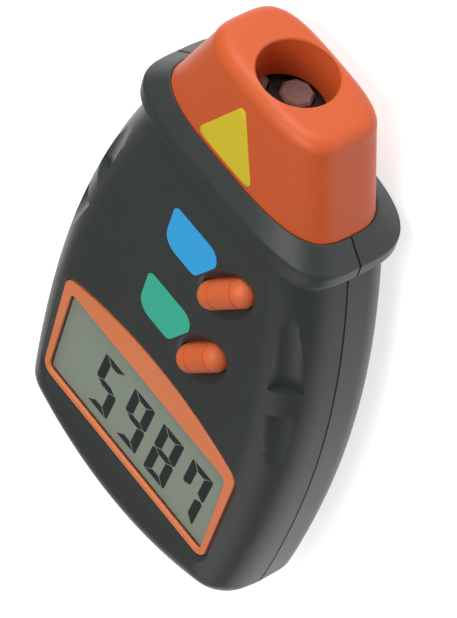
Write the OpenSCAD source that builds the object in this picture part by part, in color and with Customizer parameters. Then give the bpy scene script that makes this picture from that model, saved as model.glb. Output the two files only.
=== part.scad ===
// Handheld optical tachometer, lying on its back with its nose towards +Y.
// Each module works from the collar's top (Y zero) and the case seam (Z zero),
// and place() moves it to the part's own frame: bottom centre of the whole.

/* [Case] */
// Distance from the bezel's lower edge to the bottom end
low_end = 17.6; // [17:0.2:24]
// Width across the widest place
case_w = 70; // [69:1:76]
// Depth of the front shell, from the seam to the front face
front_d = 12; // [11.8:0.1:13]
// Wall of both shells
wall = 2; // [1.8:0.1:2.2]
// How far the widest place lies above the window's upper edge
wide_rise = 2.4; // [1.4:0.2:4]
// Radius of each side above the widest place
upper_side_r = 179; // [170:1:200]
// Radius of each side below the widest place
lower_side_r = 251; // [230:1:280]
// Radius of the bottom end
bottom_r = 71; // [65:1:90]
// Radius of the two bottom corners
corner_r = 8; // [6:0.5:10]
// How far the front face's rounded edge reaches inwards
front_round_in = 9; // [8:0.5:9.5]
// How far the front face's rounded edge reaches back
front_round_h = 9.3; // [8:0.1:10]
// How far the back face's rounded edge reaches inwards
rear_round_in = 19.2; // [17:0.2:19.4]
// How far the back face's rounded edge reaches forward
rear_round_h = 10.6; // [9.5:0.1:11]

/* [Collar] */
// How far the collar's side lies inside the widest place
collar_in = 7.2; // [6.4:0.1:7.6]
// Depth of the collar's front half
collar_front = 13.3; // [13.1:0.1:14]
// Height of the collar's sloping top
collar_slope_h = 3.7; // [3:0.1:4.2]
// Height of the collar's outer band
collar_band_h = 2.9; // [2.6:0.1:3.6]
// Height of the hollow fillet under the collar
collar_fillet_h = 3.2; // [2.6:0.1:4]

/* [Nose] */
// Length of the nose past the collar
nose_l = 20.6; // [20:0.1:23]
// Width of the collar's sloping top beside the nose
collar_ledge = 4.6; // [4.2:0.1:5]
// Front depth of the nose at the collar
nose_base_front = 10.8; // [10.6:0.1:11]
// Rear depth of the nose at the collar
nose_base_rear = 11.5; // [11.3:0.1:12]
// How far each side of the nose tapers in
nose_taper = 6.3; // [5.2:0.1:6.6]
// Front depth of the nose at its tip
nose_tip_front = 9.7; // [9.6:0.1:10.2]
// Rear depth of the nose at its tip
nose_tip_rear = 10; // [9.8:0.1:10.6]
// Radius of the nose's tip edge
nose_edge_r = 3.2; // [2.5:0.1:3.6]
// Wall of the nose
nose_wall = 1.8; // [1.6:0.1:2]
// Radius of the light port
port_r = 7.7; // [7.2:0.1:7.8]
// Depth of the light port's round wall
port_l = 10; // [9:0.1:10.1]
// Distance from the seam back to the light port's axis
port_back = 0.2; // [0:0.1:0.6]

/* [Display] */
// Distance from the widest place's side in to the window
window_side = 10.4; // [10.2:0.1:11.4]
// Height of the display window
window_h = 23.9; // [22:0.1:24]
// Distance from the test button's middle down to the window's upper edge
window_below = 22; // [21.6:0.2:26]
// Width of the bezel's side at its upper corners
bezel_top_side = 2.5; // [2.3:0.1:2.9]
// Width of the bezel's side at its lower corners
bezel_low_side = 1.4; // [1.3:0.1:1.9]
// Width of the bezel's lower edge
bezel_low_rim = 1.5; // [1.4:0.1:1.8]
// Width of the bezel's upper edge at its middle
bezel_top_rim = 7; // [6.4:0.2:7.6]
// Radius of the bezel's bulging upper edge
bezel_arc_r = 83; // [75:1:110]
// Radius of the bezel's corners
bezel_corner_r = 2.9; // [2:0.1:3.2]
// Depth of the bezel's pocket
pocket_d = 2.4; // [2.3:0.1:2.6]
// Width of the sloping step round the bezel
step_w = 1.9; // [1.4:0.1:2.2]
// Thickness of the display cell
cell_t = 2.2; // [2:0.1:2.4]

/* [Buttons] */
// Distance from the collar's top down to the memory button's middle
mem_drop = 25.2; // [25:0.2:30]
// Distance from one button's middle down to the other's
button_step = 20.2; // [20:0.2:24]
// Length of the memory button
mem_l = 16.2; // [15:0.2:16.4]
// Length of the test button
test_l = 14.2; // [13:0.2:14.4]
// Width of both buttons
button_w = 5.7; // [5.4:0.1:6.2]
// Travel of both buttons
button_travel = 0.7; // [0.5:0.1:0.8]
// How far both buttons stand above the front face
button_rise = 2.3; // [2:0.1:2.8]
// Angle of both buttons across the case
button_turn = 52; // [48:1:56]
// Depth of the dish round each button
dish_d = 2.3; // [1.8:0.1:2.3]
// Width of the dish round each button
dish_w = 10; // [9.6:0.1:10.2]

/* [Boards] */
// Thickness of the main board
board_t = 1.2; // [1:0.1:1.2]
// Space between the case's widest place and the board beside the display
board_side = 6.6; // [6.4:0.1:6.8]
// Space between the case's widest place and the board beside the buttons
board_slim_side = 12.4; // [12:0.1:12.6]
// Width of each push switch
switch_w = 6; // [5.6:0.2:6.2]
// Height of each push switch's body
switch_h = 2.1; // [2:0.1:2.2]

/* [Battery] */
// Width of the battery
battery_w = 26.5; // [25.5:0.1:26.5]
// Length of the battery's can
battery_l = 45.5; // [44:0.5:46]
// Thickness of the battery
battery_t = 17.5; // [16.5:0.1:17.5]
// Half width of the battery door
door_half_w = 14.35; // [14.2:0.05:14.4]
// Distance from the battery's bottom to the case's bottom end
battery_low = 17.9; // [17.6:0.1:19]
// Wall of the battery door
door_wall = 1.5; // [1.4:0.1:1.5]
// Distance from the seam back to the door's end wall
door_end_z = 4.85; // [4.4:0.05:6]

/* [Fasteners] */
// Radius of the case screws' shank
case_screw_r = 1.2; // [1.1:0.05:1.3]
// Radius of the board screws' shank
board_screw_r = 0.9; // [0.8:0.05:0.95]

/* [Hidden] */

over = 0.5;
slice = 0.01;
fit_gap = 0.15;
seat_gap = 0.1;
round_fn = 96;
form_steps = 6;
form_fn = 32;
side_points = 26;
oval_points = 64;
tip_steps = 4;

// Places down from the collar's top
test_drop = mem_drop + button_step;
window_drop = test_drop + window_below;
wide_drop = window_drop - wide_rise;
bottom_drop = window_drop + window_h + bezel_low_rim + low_end;

// Places across
side_w = case_w / 2;
collar_half_w = side_w - collar_in;
nose_base_half_w = collar_half_w - collar_ledge;
nose_tip_half_w = nose_base_half_w - nose_taper;
window_w = case_w - 2 * window_side;
bezel_top_half_w = window_w / 2 + bezel_top_side;
bezel_low_half_w = window_w / 2 + bezel_low_side;

// Frame
total_l = bottom_drop + nose_l;
collar_y = total_l / 2 - nose_l;
case_top = 4.4;
cavity_top = 5.2;
front_draft = 1;
rear_draft = 0.3;
oval_base_power = 3.2;
oval_tip_power = 3.5;
oval_collar_power = 3.7;

// Hollow fillet under the collar: drop, inset and sink at its middle, inset and sink at its end
fillet_shares = [0.33, 0.36, 0.25, 0.6, 0.42];

// Nose flange and its groove in the collar
flange_out = 1.4;
flange_t = 1.6;
skirt_l = 5;

// Display stack, heights from the seam
pocket_z = front_d - pocket_d;
tray_t = 1;
tray_z = pocket_z - tray_t;
tray_grow = 2.2;
step_h = 1;
bezel_t = 1.7;
pane_t = 1.1;
pane_margin = 0.6;
cell_side = 1.1;
cell_end = 2.2;
cell_w = window_w + 2 * cell_side;
cell_h = window_h + 2 * cell_end;
cell_z = tray_z - seat_gap - cell_t / 2;
cell_drop = window_drop + window_h / 2;
holder_out = 1.1;
zebra_w = 1.8;
zebra_inset = 1.2;
zebra_h = 2.2;

// Boards, heights from the seam and places down from the collar's top
board_top = cell_z - zebra_h;
board_z = board_top - board_t;
board_gap = 0.4;
board_drop = 12;
board_neck_l = 6;
board_neck_drop = board_drop + board_neck_l;
board_step_rise = 9.4;
board_step_drop = window_drop - board_step_rise;
board_low = 13.2;
board_low_drop = bottom_drop - board_low;
board_low_l = 5.2;
board_low_step = board_low_drop - board_low_l;
board_wide_half = side_w - board_side;
board_slim_half = side_w - board_slim_side;
board_neck_in = 7.6;
board_neck_half = board_slim_half - board_neck_in;
board_low_in = 4.4;
board_low_half = board_wide_half - board_low_in;

// Battery and the back face behind it
battery_seat = 0.3;
battery_drop = bottom_drop - battery_low - battery_l;
battery_edge_r = 2;
rear_d = door_wall + battery_seat + battery_t + board_gap - board_z;
battery_z = door_wall + battery_seat - rear_d;
collar_rear = rear_d;
board_hole_gap = 0.15;
board_boss_r = 2.2;
board_head_r = 1.9;
board_head_h = 1.1;
board_screw_l = 5;

// Bay round the battery
bay_gap = 0.85;
bay_wall = 2.4;
bay_half = battery_w / 2 + bay_gap;
bay_low_wall = 1.4;
bay_top_rise = 8.5;
bay_top_drop = battery_drop - bay_top_rise;
bay_top_wall = 1.5;
bay_notch_half = 6;
bay_notch_deep = 8;

// Board screws, each as its distance across and its drop below the collar's top
board_screw_in = 3.2;
board_screw_below = 3.6;
board_screw_side = board_wide_half - board_screw_in;
board_screw_low = board_step_drop + board_screw_below;
upper_screw_in = 4.6;
upper_screw_below = 10;
middle_screw_in = 2.1;
middle_screw_rise = 14.5;
board_screw_at = [
    [upper_screw_in - board_slim_half, board_drop + upper_screw_below],
    [board_slim_half - middle_screw_in, board_step_drop - middle_screw_rise],
    [-board_screw_side, board_screw_low], [board_screw_side, board_screw_low]
];

// Case screws, as half spacing across and drop below the collar's top
case_screw_in = 14;
case_screw_drop = 13;
low_screw_out = 3.5;
low_screw_rise = 9.4;
case_screw_at = [
    [side_w - case_screw_in, case_screw_drop],
    [bay_half + bay_wall + low_screw_out, bottom_drop - low_screw_rise]
];
case_boss_r = 3;
case_well_r = 3;
case_well_wall = 1.2;
case_head_r = 2.7;
case_head_h = 1.8;
case_seat_z = 6;
case_screw_l = 12.5;
case_pilot_l = 7;
screw_gap = 0.08;
screw_slot_w = 0.7;
screw_slot_d = 0.8;
screw_slot_share = 1.3;
screw_tip_share = 0.25;
screw_hole_gap = 0.3;

// Buttons, each as its place across, its drop below the collar's top and its length
mem_across = 10.6;
test_across = 10.3;
mem_at = [mem_across, mem_drop];
test_at = [test_across, test_drop];
button_gap = 0.3;
button_ring_shares = [-0.36, 0.58];
button_groove_w = 0.5;
button_groove_d = 0.3;
flange_w = 0.9;
flange_h = 0.8;
ledge_z = front_d - dish_d;
guide_wall = 1.2;
guide_l = 1.8;
dish_end = 1.4;
plunger_r = 1.7;
plunger_gap = 0.08;
switch_clear = 0.2;
switch_corner_r = 0.5;
button_floor = ledge_z - button_gap - flange_h;
button_axis_z = front_d + button_rise - button_w / 2;

// Grips, each as half distance across, drop and height of its cutter's two ends
grip_r = 5.2;
grip_in = [6.7, 3.7, 3.1, -0.75];
grip_drops = [18.8, 35.2, 40.9, 54.3];
grip_rises = [1.45, -0.25, 0, 0.2];
upper_grip = [for (i = [0, 1]) [side_w - grip_in[i], grip_drops[i], front_d + grip_rises[i]]];
lower_grip = [for (i = [2, 3]) [side_w - grip_in[i], grip_drops[i], front_d + grip_rises[i]]];
grip_fn = 64;

// Optics
block_in = 6.7;
block_half_w = nose_base_half_w - block_in;
block_front = 7.5;
block_rear = 8.4;
block_l = 18.6;
block_tip = 9.3;
receiver_at = [-2, -4.5];
emitter_at = [-8.7, 1];
lens_r = 3.4;
lens_l = 2.9;
lens_seat = 1.8;
lens_turn = 12;
lens_sides = 8;
lens_gap = 0.08;
lens_bevel = 0.5;
lens_bevel_h = 0.5;
tube_r = 2.6;
barrel_r = 3.1;
barrel_l = 12;
barrel_bore_r = 1;
barrel_back_r = 2.4;
barrel_back_l = 4;
diode_r = 2.3;
diode_l = 2.6;
photo_r = 2.5;
photo_l = 6;
sensor_in = 0.5;
sensor_half_w = block_half_w - sensor_in;
sensor_front = 8.5;
sensor_rear = 9;
sensor_t = 1.2;
sensor_drop = block_l - block_tip;
sensor_rib_half = 8;
sensor_rib_t = 1.3;
sensor_rib_rise = 2.6;
optics_screw_in = 3.9;
optics_screw_at = block_half_w - optics_screw_in;
header_w = 12;
header_l = 3;
header_h = 2.4;

// Battery parts
cap_t = 1;
terminal_h = 2;
terminal_step = 12.7;
round_terminal_r = 2.9;
hex_terminal_r = 3.7;
snap_w = 25;
snap_h = 12;
snap_t = 3.4;
snap_gap = 0.3;
contact_wall = 0.5;
contact_t = 0.4;
foam_t = 1.7;
foam_gap = 0.3;
foam_half_w = 11;
foam_h = 14;
lead_r = 0.65;
lead_fn = 10;
// Red lead's route: across, drop and height from the seam
lead_route = [
    [3, 41.4, -5.2], [3, 39.6, -5], [3.4, 37.6, -3.6], [4, 36, -1.4], [4.6, 34.8, 0.8], [5.2, 33.6, 3]
];

// Door
door_gap = 0.3;
door_rise = 5;
door_drop = battery_drop - door_rise;
door_end_h = rear_d - door_end_z;
tongue_in = 0.75;
tongue_out = 1.05;
tongue_t = 0.8;
tongue_below = 2;
tongue_short = 1.5;
tongue_top_drop = door_drop + tongue_below;
tongue_l = battery_l - tongue_short;
groove_gap = 0.3;
grip_ridge_r = 0.7;
grip_ridge_pitch = 2.6;
grip_ridge_count = 5;
grip_ridge_half = 8;
grip_ridge_below = 6;
grip_ridge_drop = door_drop + grip_ridge_below;
grip_ridge_depth = 0.45;

// Badges, each as its left edge across and its upper edge's drop
badge_rise = 6.7;
badge_across = -6.9;
badge_shift = -0.9;
badge_lower_rise = 6;
mem_badge_at = [badge_across, mem_drop - badge_rise];
test_badge_at = [badge_across + badge_shift, test_drop - badge_lower_rise];
badge_w = 13.3;
badge_h = 10.6;
badge_side_h = 2.2;
badge_slant = 4.1;
badge_r = 1.8;

// Trim
trim_t = 0.15;
sticker_low_half = 8.2;
sticker_h = 15;
sticker_low = 0.9;
sticker_r = 1.1;
sticker_across = -1;
label_w = 15;
label_h = 20;
label_drop = 14;
label_r = 1.2;
label_pocket = 0.3;

// Parts on the main board, each place as across and drop
chip_in = 12.6;
controller_below = 23;
controller_at = [chip_in - board_slim_half, board_drop + controller_below];
controller_size = [9, 12, 1.6];
controller_legs = 10;
driver_rise = 4.5;
driver_at = [chip_in - board_slim_half, board_step_drop - driver_rise];
driver_size = [8, 10, 1.6];
driver_legs = 8;
crystal_in = 3.6;
crystal_below = 3;
crystal_at = [crystal_in - board_slim_half, controller_at.y + crystal_below];
crystal_size = [4, 9.6, 2.4];
capacitor_below = 18;
capacitor_at = [
    [crystal_in - board_slim_half, driver_at.y],
    [board_slim_half - crystal_in, board_drop + capacitor_below]
];
capacitor_r = 2;
capacitor_h = 3;
resistor_size = [1.2, 2, 0.6];
resistor_beside = 7;
resistor_below = 16;
resistor_at = [controller_at.x + resistor_beside, board_drop + resistor_below];
resistor_step = 3.4;
resistor_rows = 4;

module place() {
    translate([0, collar_y, rear_d]) children();
}

// Shared outlines

function side_x(drop) =
    let (r = drop < wide_drop ? upper_side_r : lower_side_r, away = drop - wide_drop)
    case_w / 2 - r + sqrt(r * r - away * away);

module long_outline() {
    top = -case_w;
    step = (bottom_drop - top) / side_points;
    offset(r = corner_r, $fn = form_fn) offset(delta = -corner_r) intersection() {
        polygon([
            for (i = [0 : side_points]) [side_x(top + i * step), -top - i * step],
            for (i = [side_points : -1 : 0]) [-side_x(top + i * step), -top - i * step]
        ]);
        union() {
            translate([0, bottom_r - bottom_drop]) circle(bottom_r, $fn = round_fn);
            translate([-case_w, bottom_r - bottom_drop]) square([case_w * 2, case_w * 2]);
        }
    }
}

module outline(inset, top) {
    intersection() {
        offset(delta = -inset) long_outline();
        translate([-case_w, -top - bottom_drop - over]) square([case_w * 2, bottom_drop + over]);
    }
}

module half_form(skin, depth, round_in, round_h, draft, top, low) {
    hull() {
        translate([0, 0, low]) linear_extrude(slice) outline(skin, top);
        for (i = [0 : form_steps]) {
            a = 90 * i / form_steps;
            z = depth - skin - round_h * (1 - sin(a));
            translate([0, 0, z - slice]) linear_extrude(slice)
                outline(skin + round_in * (1 - cos(a)) + draft * z / depth, top);
        }
    }
}

module front_form(skin, top, low = 0) {
    half_form(skin, front_d, front_round_in, front_round_h, front_draft, top, low);
}

module rear_form(skin, top, low = 0) {
    mirror([0, 0, 1]) half_form(skin, rear_d, rear_round_in, rear_round_h, rear_draft, top, low);
}

function oval_point(a, half_w, front, rear, power) = [
    half_w * sign(cos(a)) * pow(abs(cos(a)), 2 / power),
    (sin(a) > 0 ? front : rear) * sign(sin(a)) * pow(abs(sin(a)), 2 / power)
];

module oval(half_w, front, rear, power) {
    polygon([for (i = [0 : oval_points - 1]) oval_point(360 * i / oval_points, half_w, front, rear, power)]);
}

// Extrudes an outline of width and height along the length, down from a place
module along(from, length) {
    translate([0, from, 0]) rotate([90, 0, 0]) linear_extrude(length) children();
}

module base_oval(grow) {
    oval(nose_base_half_w + grow, nose_base_front + grow, nose_base_rear + grow, oval_base_power);
}

module collar_oval(shrink, sink) {
    oval(collar_half_w - shrink, collar_front - sink, collar_rear - sink, oval_collar_power);
}

module rounded_box(size, r) {
    linear_extrude(size.z) rounded_square([size.x, size.y], r);
}

// Centred square with true round corners
module rounded_square(size, r) {
    square([size.x - 2 * r, size.y], center = true);
    square([size.x, size.y - 2 * r], center = true);
    for (x = [-1, 1], y = [-1, 1])
        translate([x * (size.x / 2 - r), y * (size.y / 2 - r)]) circle(r, $fn = round_fn / 2);
}

// Centred slot outline along X
module slot(length, width) {
    square([length - width, width], center = true);
    for (x = [-1, 1]) translate([x * (length - width) / 2, 0]) circle(width / 2, $fn = round_fn);
}

module front_half() {
    translate([-case_w, -total_l, 0]) cube([case_w * 2, total_l * 2, total_l]);
}

module rear_half() {
    mirror([0, 0, 1]) front_half();
}

module both_sides() {
    children();
    mirror([1, 0, 0]) children();
}

module at_button(spot) {
    translate([spot.x, -spot.y, 0]) rotate([0, 0, button_turn]) children();
}

// Cases

module collar_solid() {
    band = collar_slope_h + collar_band_h;
    hull() {
        along(0, slice) base_oval(fit_gap * 2);
        along(-collar_slope_h, slice) collar_oval(0, 0);
    }
    along(-collar_slope_h, collar_band_h) collar_oval(0, 0);
    hull() {
        along(-band, slice) collar_oval(0, 0);
        along(-band - collar_fillet_h * fillet_shares[0], slice)
            collar_oval(collar_fillet_h * fillet_shares[1], collar_fillet_h * fillet_shares[2]);
    }
    hull() {
        along(-band - collar_fillet_h * fillet_shares[0], slice)
            collar_oval(collar_fillet_h * fillet_shares[1], collar_fillet_h * fillet_shares[2]);
        along(-band - collar_fillet_h, slice)
            collar_oval(collar_fillet_h * fillet_shares[3], collar_fillet_h * fillet_shares[4]);
    }
}

module nose_seat() {
    along(over, over + cavity_top + over) base_oval(fit_gap);
    along(-skirt_l + flange_t + fit_gap, flange_t + 2 * fit_gap) base_oval(flange_out + fit_gap);
}

module grip_rod(ends, grow) {
    from = [ends[0].x, -ends[0].y, ends[0].z];
    run = [ends[1].x, -ends[1].y, ends[1].z] - from;
    translate(from) rotate([0, acos(run.z / norm(run)), atan2(run.y, run.x)])
        translate([0, 0, -grow]) cylinder(h = norm(run) + 2 * grow, r = grip_r + grow, $fn = grip_fn);
}

module grip_cuts(grow) {
    both_sides() {
        grip_rod(upper_grip, grow);
        grip_rod(lower_grip, grow);
    }
}

module bezel_outline(grow) {
    low = window_drop + window_h + bezel_low_rim;
    top = window_drop - bezel_top_rim;
    offset(delta = grow) offset(r = bezel_corner_r, $fn = round_fn / 2) offset(delta = -bezel_corner_r)
        intersection() {
            polygon([
                [-bezel_top_half_w, -top], [-bezel_low_half_w, -low],
                [bezel_low_half_w, -low], [bezel_top_half_w, -top]
            ]);
            translate([0, -top - bezel_arc_r]) circle(bezel_arc_r, $fn = round_fn * 3);
        }
}

module window_square(grow) {
    translate([0, -cell_drop]) square([window_w + 2 * grow, window_h + 2 * grow], center = true);
}

module button_guide(spot, length) {
    grow = 2 * (flange_w + button_gap + guide_wall);
    at_button(spot) translate([0, 0, ledge_z - guide_l])
        linear_extrude(front_d - ledge_z + guide_l) slot(length + grow, button_w + grow);
}

module button_cuts(spot, length) {
    grow = 2 * (flange_w + button_gap);
    at_button(spot) {
        translate([0, 0, ledge_z - guide_l - over]) linear_extrude(guide_l + over)
            slot(length + grow, button_w + grow);
        linear_extrude(front_d + over) slot(length + 2 * button_gap, button_w + 2 * button_gap);
        dish(length);
    }
}

// A shallow hollow, oval as seen from the front, turned about an axis above the face
module dish(length) {
    half = length / 2 + dish_end;
    middle_r = (dish_w * dish_w / 4 + dish_d * dish_d) / (2 * dish_d);
    bow_r = (half * half + dish_d * dish_d) / (2 * dish_d);
    translate([0, 0, front_d + middle_r - dish_d]) rotate([0, 90, 0]) rotate_extrude($fn = round_fn)
        intersection() {
            translate([middle_r - bow_r, 0]) circle(bow_r, $fn = round_fn * 2);
            translate([0, -half - over]) square([middle_r + over, 2 * (half + over)]);
        }
}

module front_case() {
    color("#4a4f4e") place() difference() {
        union() {
            intersection() {
                front_form(0, case_top);
                union() {
                    difference() {
                        front_half();
                        difference() {
                            front_form(wall, cavity_top, -over);
                            grip_cuts(wall);
                        }
                    }
                    translate([0, 0, tray_z]) linear_extrude(pocket_d + tray_t - step_h)
                        bezel_outline(tray_grow);
                    button_guide(mem_at, mem_l);
                    button_guide(test_at, test_l);
                    for (at = board_screw_at) translate([at.x, -at.y, board_top])
                        cylinder(h = front_d - board_top, r = board_boss_r, $fn = round_fn / 2);
                    both_sides() for (at = case_screw_at) translate([at.x, -at.y, 0])
                        cylinder(h = front_d, r = case_boss_r, $fn = round_fn / 2);
                }
            }
            difference() {
                intersection() {
                    collar_solid();
                    front_half();
                }
                front_form(wall, cavity_top, -over);
            }
        }
        nose_seat();
        translate([0, 0, pocket_z]) linear_extrude(front_d) bezel_outline(fit_gap);
        hull() {
            translate([0, 0, front_d + over]) linear_extrude(slice) bezel_outline(step_w + over);
            translate([0, 0, front_d - step_h]) linear_extrude(slice) bezel_outline(fit_gap * 2);
        }
        translate([0, 0, tray_z - over]) linear_extrude(front_d) window_square(0);
        button_cuts(mem_at, mem_l);
        button_cuts(test_at, test_l);
        grip_cuts(0);
        for (at = board_screw_at) translate([at.x, -at.y, board_top - over])
            cylinder(h = board_screw_l - board_t + over, r = board_screw_r + screw_gap, $fn = round_fn / 2);
        both_sides() for (at = case_screw_at) translate([at.x, -at.y, -over])
            cylinder(h = case_pilot_l + over, r = case_screw_r + screw_gap, $fn = round_fn / 2);
    }
}

module bay() {
    inner = bay_half;
    top = board_z - board_gap - seat_gap;
    low = battery_drop + battery_l + foam_t + 2 * foam_gap;
    both_sides() translate([inner, -low - bay_low_wall, -rear_d])
        cube([bay_wall, low + bay_low_wall - bay_top_drop, top + rear_d]);
    translate([-inner, -low - bay_low_wall, -rear_d + door_wall + tongue_t + groove_gap + fit_gap])
        cube([2 * inner, bay_low_wall, top + rear_d - door_wall - tongue_t - groove_gap - fit_gap]);
    translate([-inner, -bay_top_drop - bay_top_wall, -rear_d])
        cube([2 * inner, bay_top_wall, top + rear_d]);
}

module door_space(gap, top_drop) {
    translate([-door_half_w - gap, -total_l, -rear_d - over])
        cube([2 * (door_half_w + gap), total_l - top_drop, door_end_h + gap + over]);
}

module rear_case() {
    groove_z = door_wall - rear_d - groove_gap;
    color("#4a4f4e") place() difference() {
        union() {
            intersection() {
                rear_form(0, case_top);
                union() {
                    difference() {
                        rear_half();
                        rear_form(wall, cavity_top, -over);
                    }
                    bay();
                    both_sides() for (at = case_screw_at) translate([at.x, -at.y, -rear_d])
                        cylinder(h = rear_d, r = case_well_r + case_well_wall, $fn = round_fn / 2);
                    for (y = [-sensor_drop + seat_gap, -sensor_drop - sensor_t - seat_gap - sensor_rib_t])
                        translate([-sensor_rib_half, y, -rear_d])
                            cube([2 * sensor_rib_half, sensor_rib_t, rear_d - sensor_rear
                                + (y < -sensor_drop ? sensor_rib_rise : -seat_gap)]);
                }
            }
            difference() {
                intersection() {
                    collar_solid();
                    rear_half();
                }
                rear_form(wall, cavity_top, -over);
            }
        }
        nose_seat();
        door_space(door_gap, door_drop - door_gap);
        translate([-door_half_w - tongue_out - groove_gap, -total_l, groove_z])
            cube([2 * (door_half_w + tongue_out + groove_gap), total_l - tongue_top_drop + groove_gap,
                tongue_t + 2 * groove_gap]);
        translate([-bay_notch_half, -bay_top_drop - bay_top_wall - over, -bay_notch_deep])
            cube([2 * bay_notch_half, bay_top_wall + 2 * over, rear_d]);
        both_sides() for (at = case_screw_at) translate([at.x, -at.y, 0]) {
            translate([0, 0, -rear_d - over])
                cylinder(h = rear_d - case_seat_z + over, r = case_well_r, $fn = round_fn / 2);
            translate([0, 0, -case_seat_z - over])
                cylinder(h = case_seat_z + 2 * over, r = case_screw_r + screw_hole_gap, $fn = round_fn / 2);
        }
        translate([0, -label_drop - label_h / 2, -rear_d - over])
            rounded_box([label_w + 2 * fit_gap, label_h + 2 * fit_gap, label_pocket + over], label_r);
    }
}

module battery_door() {
    slide = tongue_out + tongue_in;
    color("#4a4f4e") place() {
        difference() {
            intersection() {
                rear_form(0, case_top);
                door_space(0, door_drop);
            }
            rear_form(door_wall, cavity_top, -over);
            for (i = [0 : grip_ridge_count - 1])
                translate([-grip_ridge_half, -grip_ridge_drop - i * grip_ridge_pitch,
                    -rear_d - grip_ridge_r + grip_ridge_depth])
                    rotate([0, 90, 0])
                        cylinder(h = 2 * grip_ridge_half, r = grip_ridge_r, $fn = round_fn / 2);
        }
        both_sides() translate([door_half_w - tongue_in, -tongue_top_drop - tongue_l, door_wall - rear_d])
            cube([slide, tongue_l, tongue_t]);
    }
}

// Nose

module hood_form(grow) {
    hull() {
        along(0, slice) base_oval(grow);
        for (i = [0 : tip_steps]) {
            a = 90 * i / tip_steps;
            in = nose_edge_r * (1 - cos(a)) - grow;
            along(nose_l - nose_edge_r * (1 - sin(a)) + min(0, grow) + slice, slice)
                oval(nose_tip_half_w - in, nose_tip_front - in, nose_tip_rear - in, oval_tip_power);
        }
    }
}

module hood_hollow() {
    along(over, over + skirt_l + over) base_oval(-nose_wall);
    hull() {
        along(over, slice) base_oval(-nose_wall);
        along(nose_l - nose_edge_r, slice)
            oval(nose_tip_half_w - nose_wall, nose_tip_front - nose_wall, nose_tip_rear - nose_wall,
                oval_tip_power);
    }
}

module port(r, length) {
    translate([0, nose_l - length, -port_back]) rotate([-90, 0, 0])
        cylinder(h = length + over, r = r, $fn = round_fn);
}

module nose_hood() {
    color("#d0643a") place() difference() {
        union() {
            intersection() {
                hood_form(0);
                union() {
                    difference() {
                        translate([-case_w, -over, -case_w]) cube([2 * case_w, total_l, 2 * case_w]);
                        hood_hollow();
                    }
                    port(port_r + nose_wall, port_l);
                }
            }
            difference() {
                union() {
                    along(slice, skirt_l + slice) base_oval(0);
                    along(-skirt_l + flange_t, flange_t) base_oval(flange_out);
                }
                hood_hollow();
            }
        }
        port(port_r, port_l + over);
    }
}

module nose_sticker() {
    color("#e6ce2c") place() intersection() {
        difference() {
            hood_form(trim_t);
            hood_form(0);
        }
        translate([sticker_across, sticker_low, 0]) linear_extrude(total_l)
            offset(r = sticker_r, $fn = round_fn / 2) offset(delta = -sticker_r)
                polygon([[-sticker_low_half, 0], [sticker_low_half, 0], [0, sticker_h]]);
    }
}

// Display

module display_bezel() {
    color("#ee7a4c") place() difference() {
        translate([0, 0, pocket_z]) linear_extrude(bezel_t) bezel_outline(0);
        translate([0, 0, pocket_z - over]) linear_extrude(pane_t + over + seat_gap)
            window_square(pane_margin + seat_gap);
        translate([0, 0, pocket_z]) linear_extrude(front_d) window_square(0);
    }
}

module display_window() {
    color("#b8c0b4") place() translate([0, 0, pocket_z]) linear_extrude(pane_t) window_square(pane_margin);
}

module lcd_front_glass() {
    color("#8e9a8c") place() translate([0, 0, cell_z + cell_t / 2]) linear_extrude(cell_t / 2 - seat_gap)
        window_square(-seat_gap);
}

module lcd_rear_glass() {
    color("#7c887a") place() translate([0, -cell_drop, cell_z + cell_t / 4])
        cube([cell_w, cell_h, cell_t / 2], center = true);
}

module lcd_holder() {
    ledge = zebra_inset - seat_gap;
    color("#2c2e30") place() translate([0, -cell_drop, board_top]) linear_extrude(cell_z - board_top)
        difference() {
            square([cell_w + 2 * holder_out, cell_h + 2 * holder_out], center = true);
            square([cell_w - 2 * ledge, cell_h - 2 * ledge], center = true);
        }
}

module zebra_strips() {
    color("#d86a8a") place() for (side = [-1, 1])
        translate([-cell_w / 2 + zebra_inset, -cell_drop + side * (cell_h / 2 - zebra_inset - zebra_w / 2)
            - zebra_w / 2, board_top])
            cube([cell_w - 2 * zebra_inset, zebra_w, cell_z - board_top]);
}

// Boards and what they carry

module board_outline() {
    polygon([
        [-board_neck_half, -board_drop], [-board_neck_half, -board_neck_drop],
        [-board_slim_half, -board_neck_drop], [-board_slim_half, -board_step_drop],
        [-board_wide_half, -board_step_drop], [-board_wide_half, -board_low_step],
        [-board_low_half, -board_low_drop], [board_low_half, -board_low_drop],
        [board_wide_half, -board_low_step], [board_wide_half, -board_step_drop],
        [board_slim_half, -board_step_drop], [board_slim_half, -board_neck_drop],
        [board_neck_half, -board_neck_drop], [board_neck_half, -board_drop]
    ]);
}

module main_board() {
    color("#2e6b3c") place() difference() {
        translate([0, 0, board_z]) linear_extrude(board_t) board_outline();
        for (at = board_screw_at) translate([at.x, -at.y, board_z - over])
            cylinder(h = board_t + 2 * over, r = board_screw_r + board_hole_gap, $fn = round_fn / 2);
    }
}

// A flat chip with rows of legs on two sides, seated on the board's top
module chip(at, size, legs) {
    pitch = size.y / (legs + 1);
    translate([at.x, -at.y, board_top]) {
        translate([0, 0, size.z / 2 + seat_gap]) cube(size, center = true);
        for (side = [-1, 1], i = [1 : legs])
            translate([side * size.x / 2, i * pitch - size.y / 2, size.z / 4 + seat_gap / 2])
                cube([size.z, pitch / 2, size.z / 2 + seat_gap], center = true);
    }
}

module controller_chip() {
    color("#26282a") place() chip(controller_at, controller_size, controller_legs);
}

module driver_chip() {
    color("#26282a") place() chip(driver_at, driver_size, driver_legs);
}

module crystal() {
    color("#b8bcc0") place() translate([crystal_at.x, -crystal_at.y, board_top])
        rounded_box(crystal_size, crystal_size.x / 2 - seat_gap);
}

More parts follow.
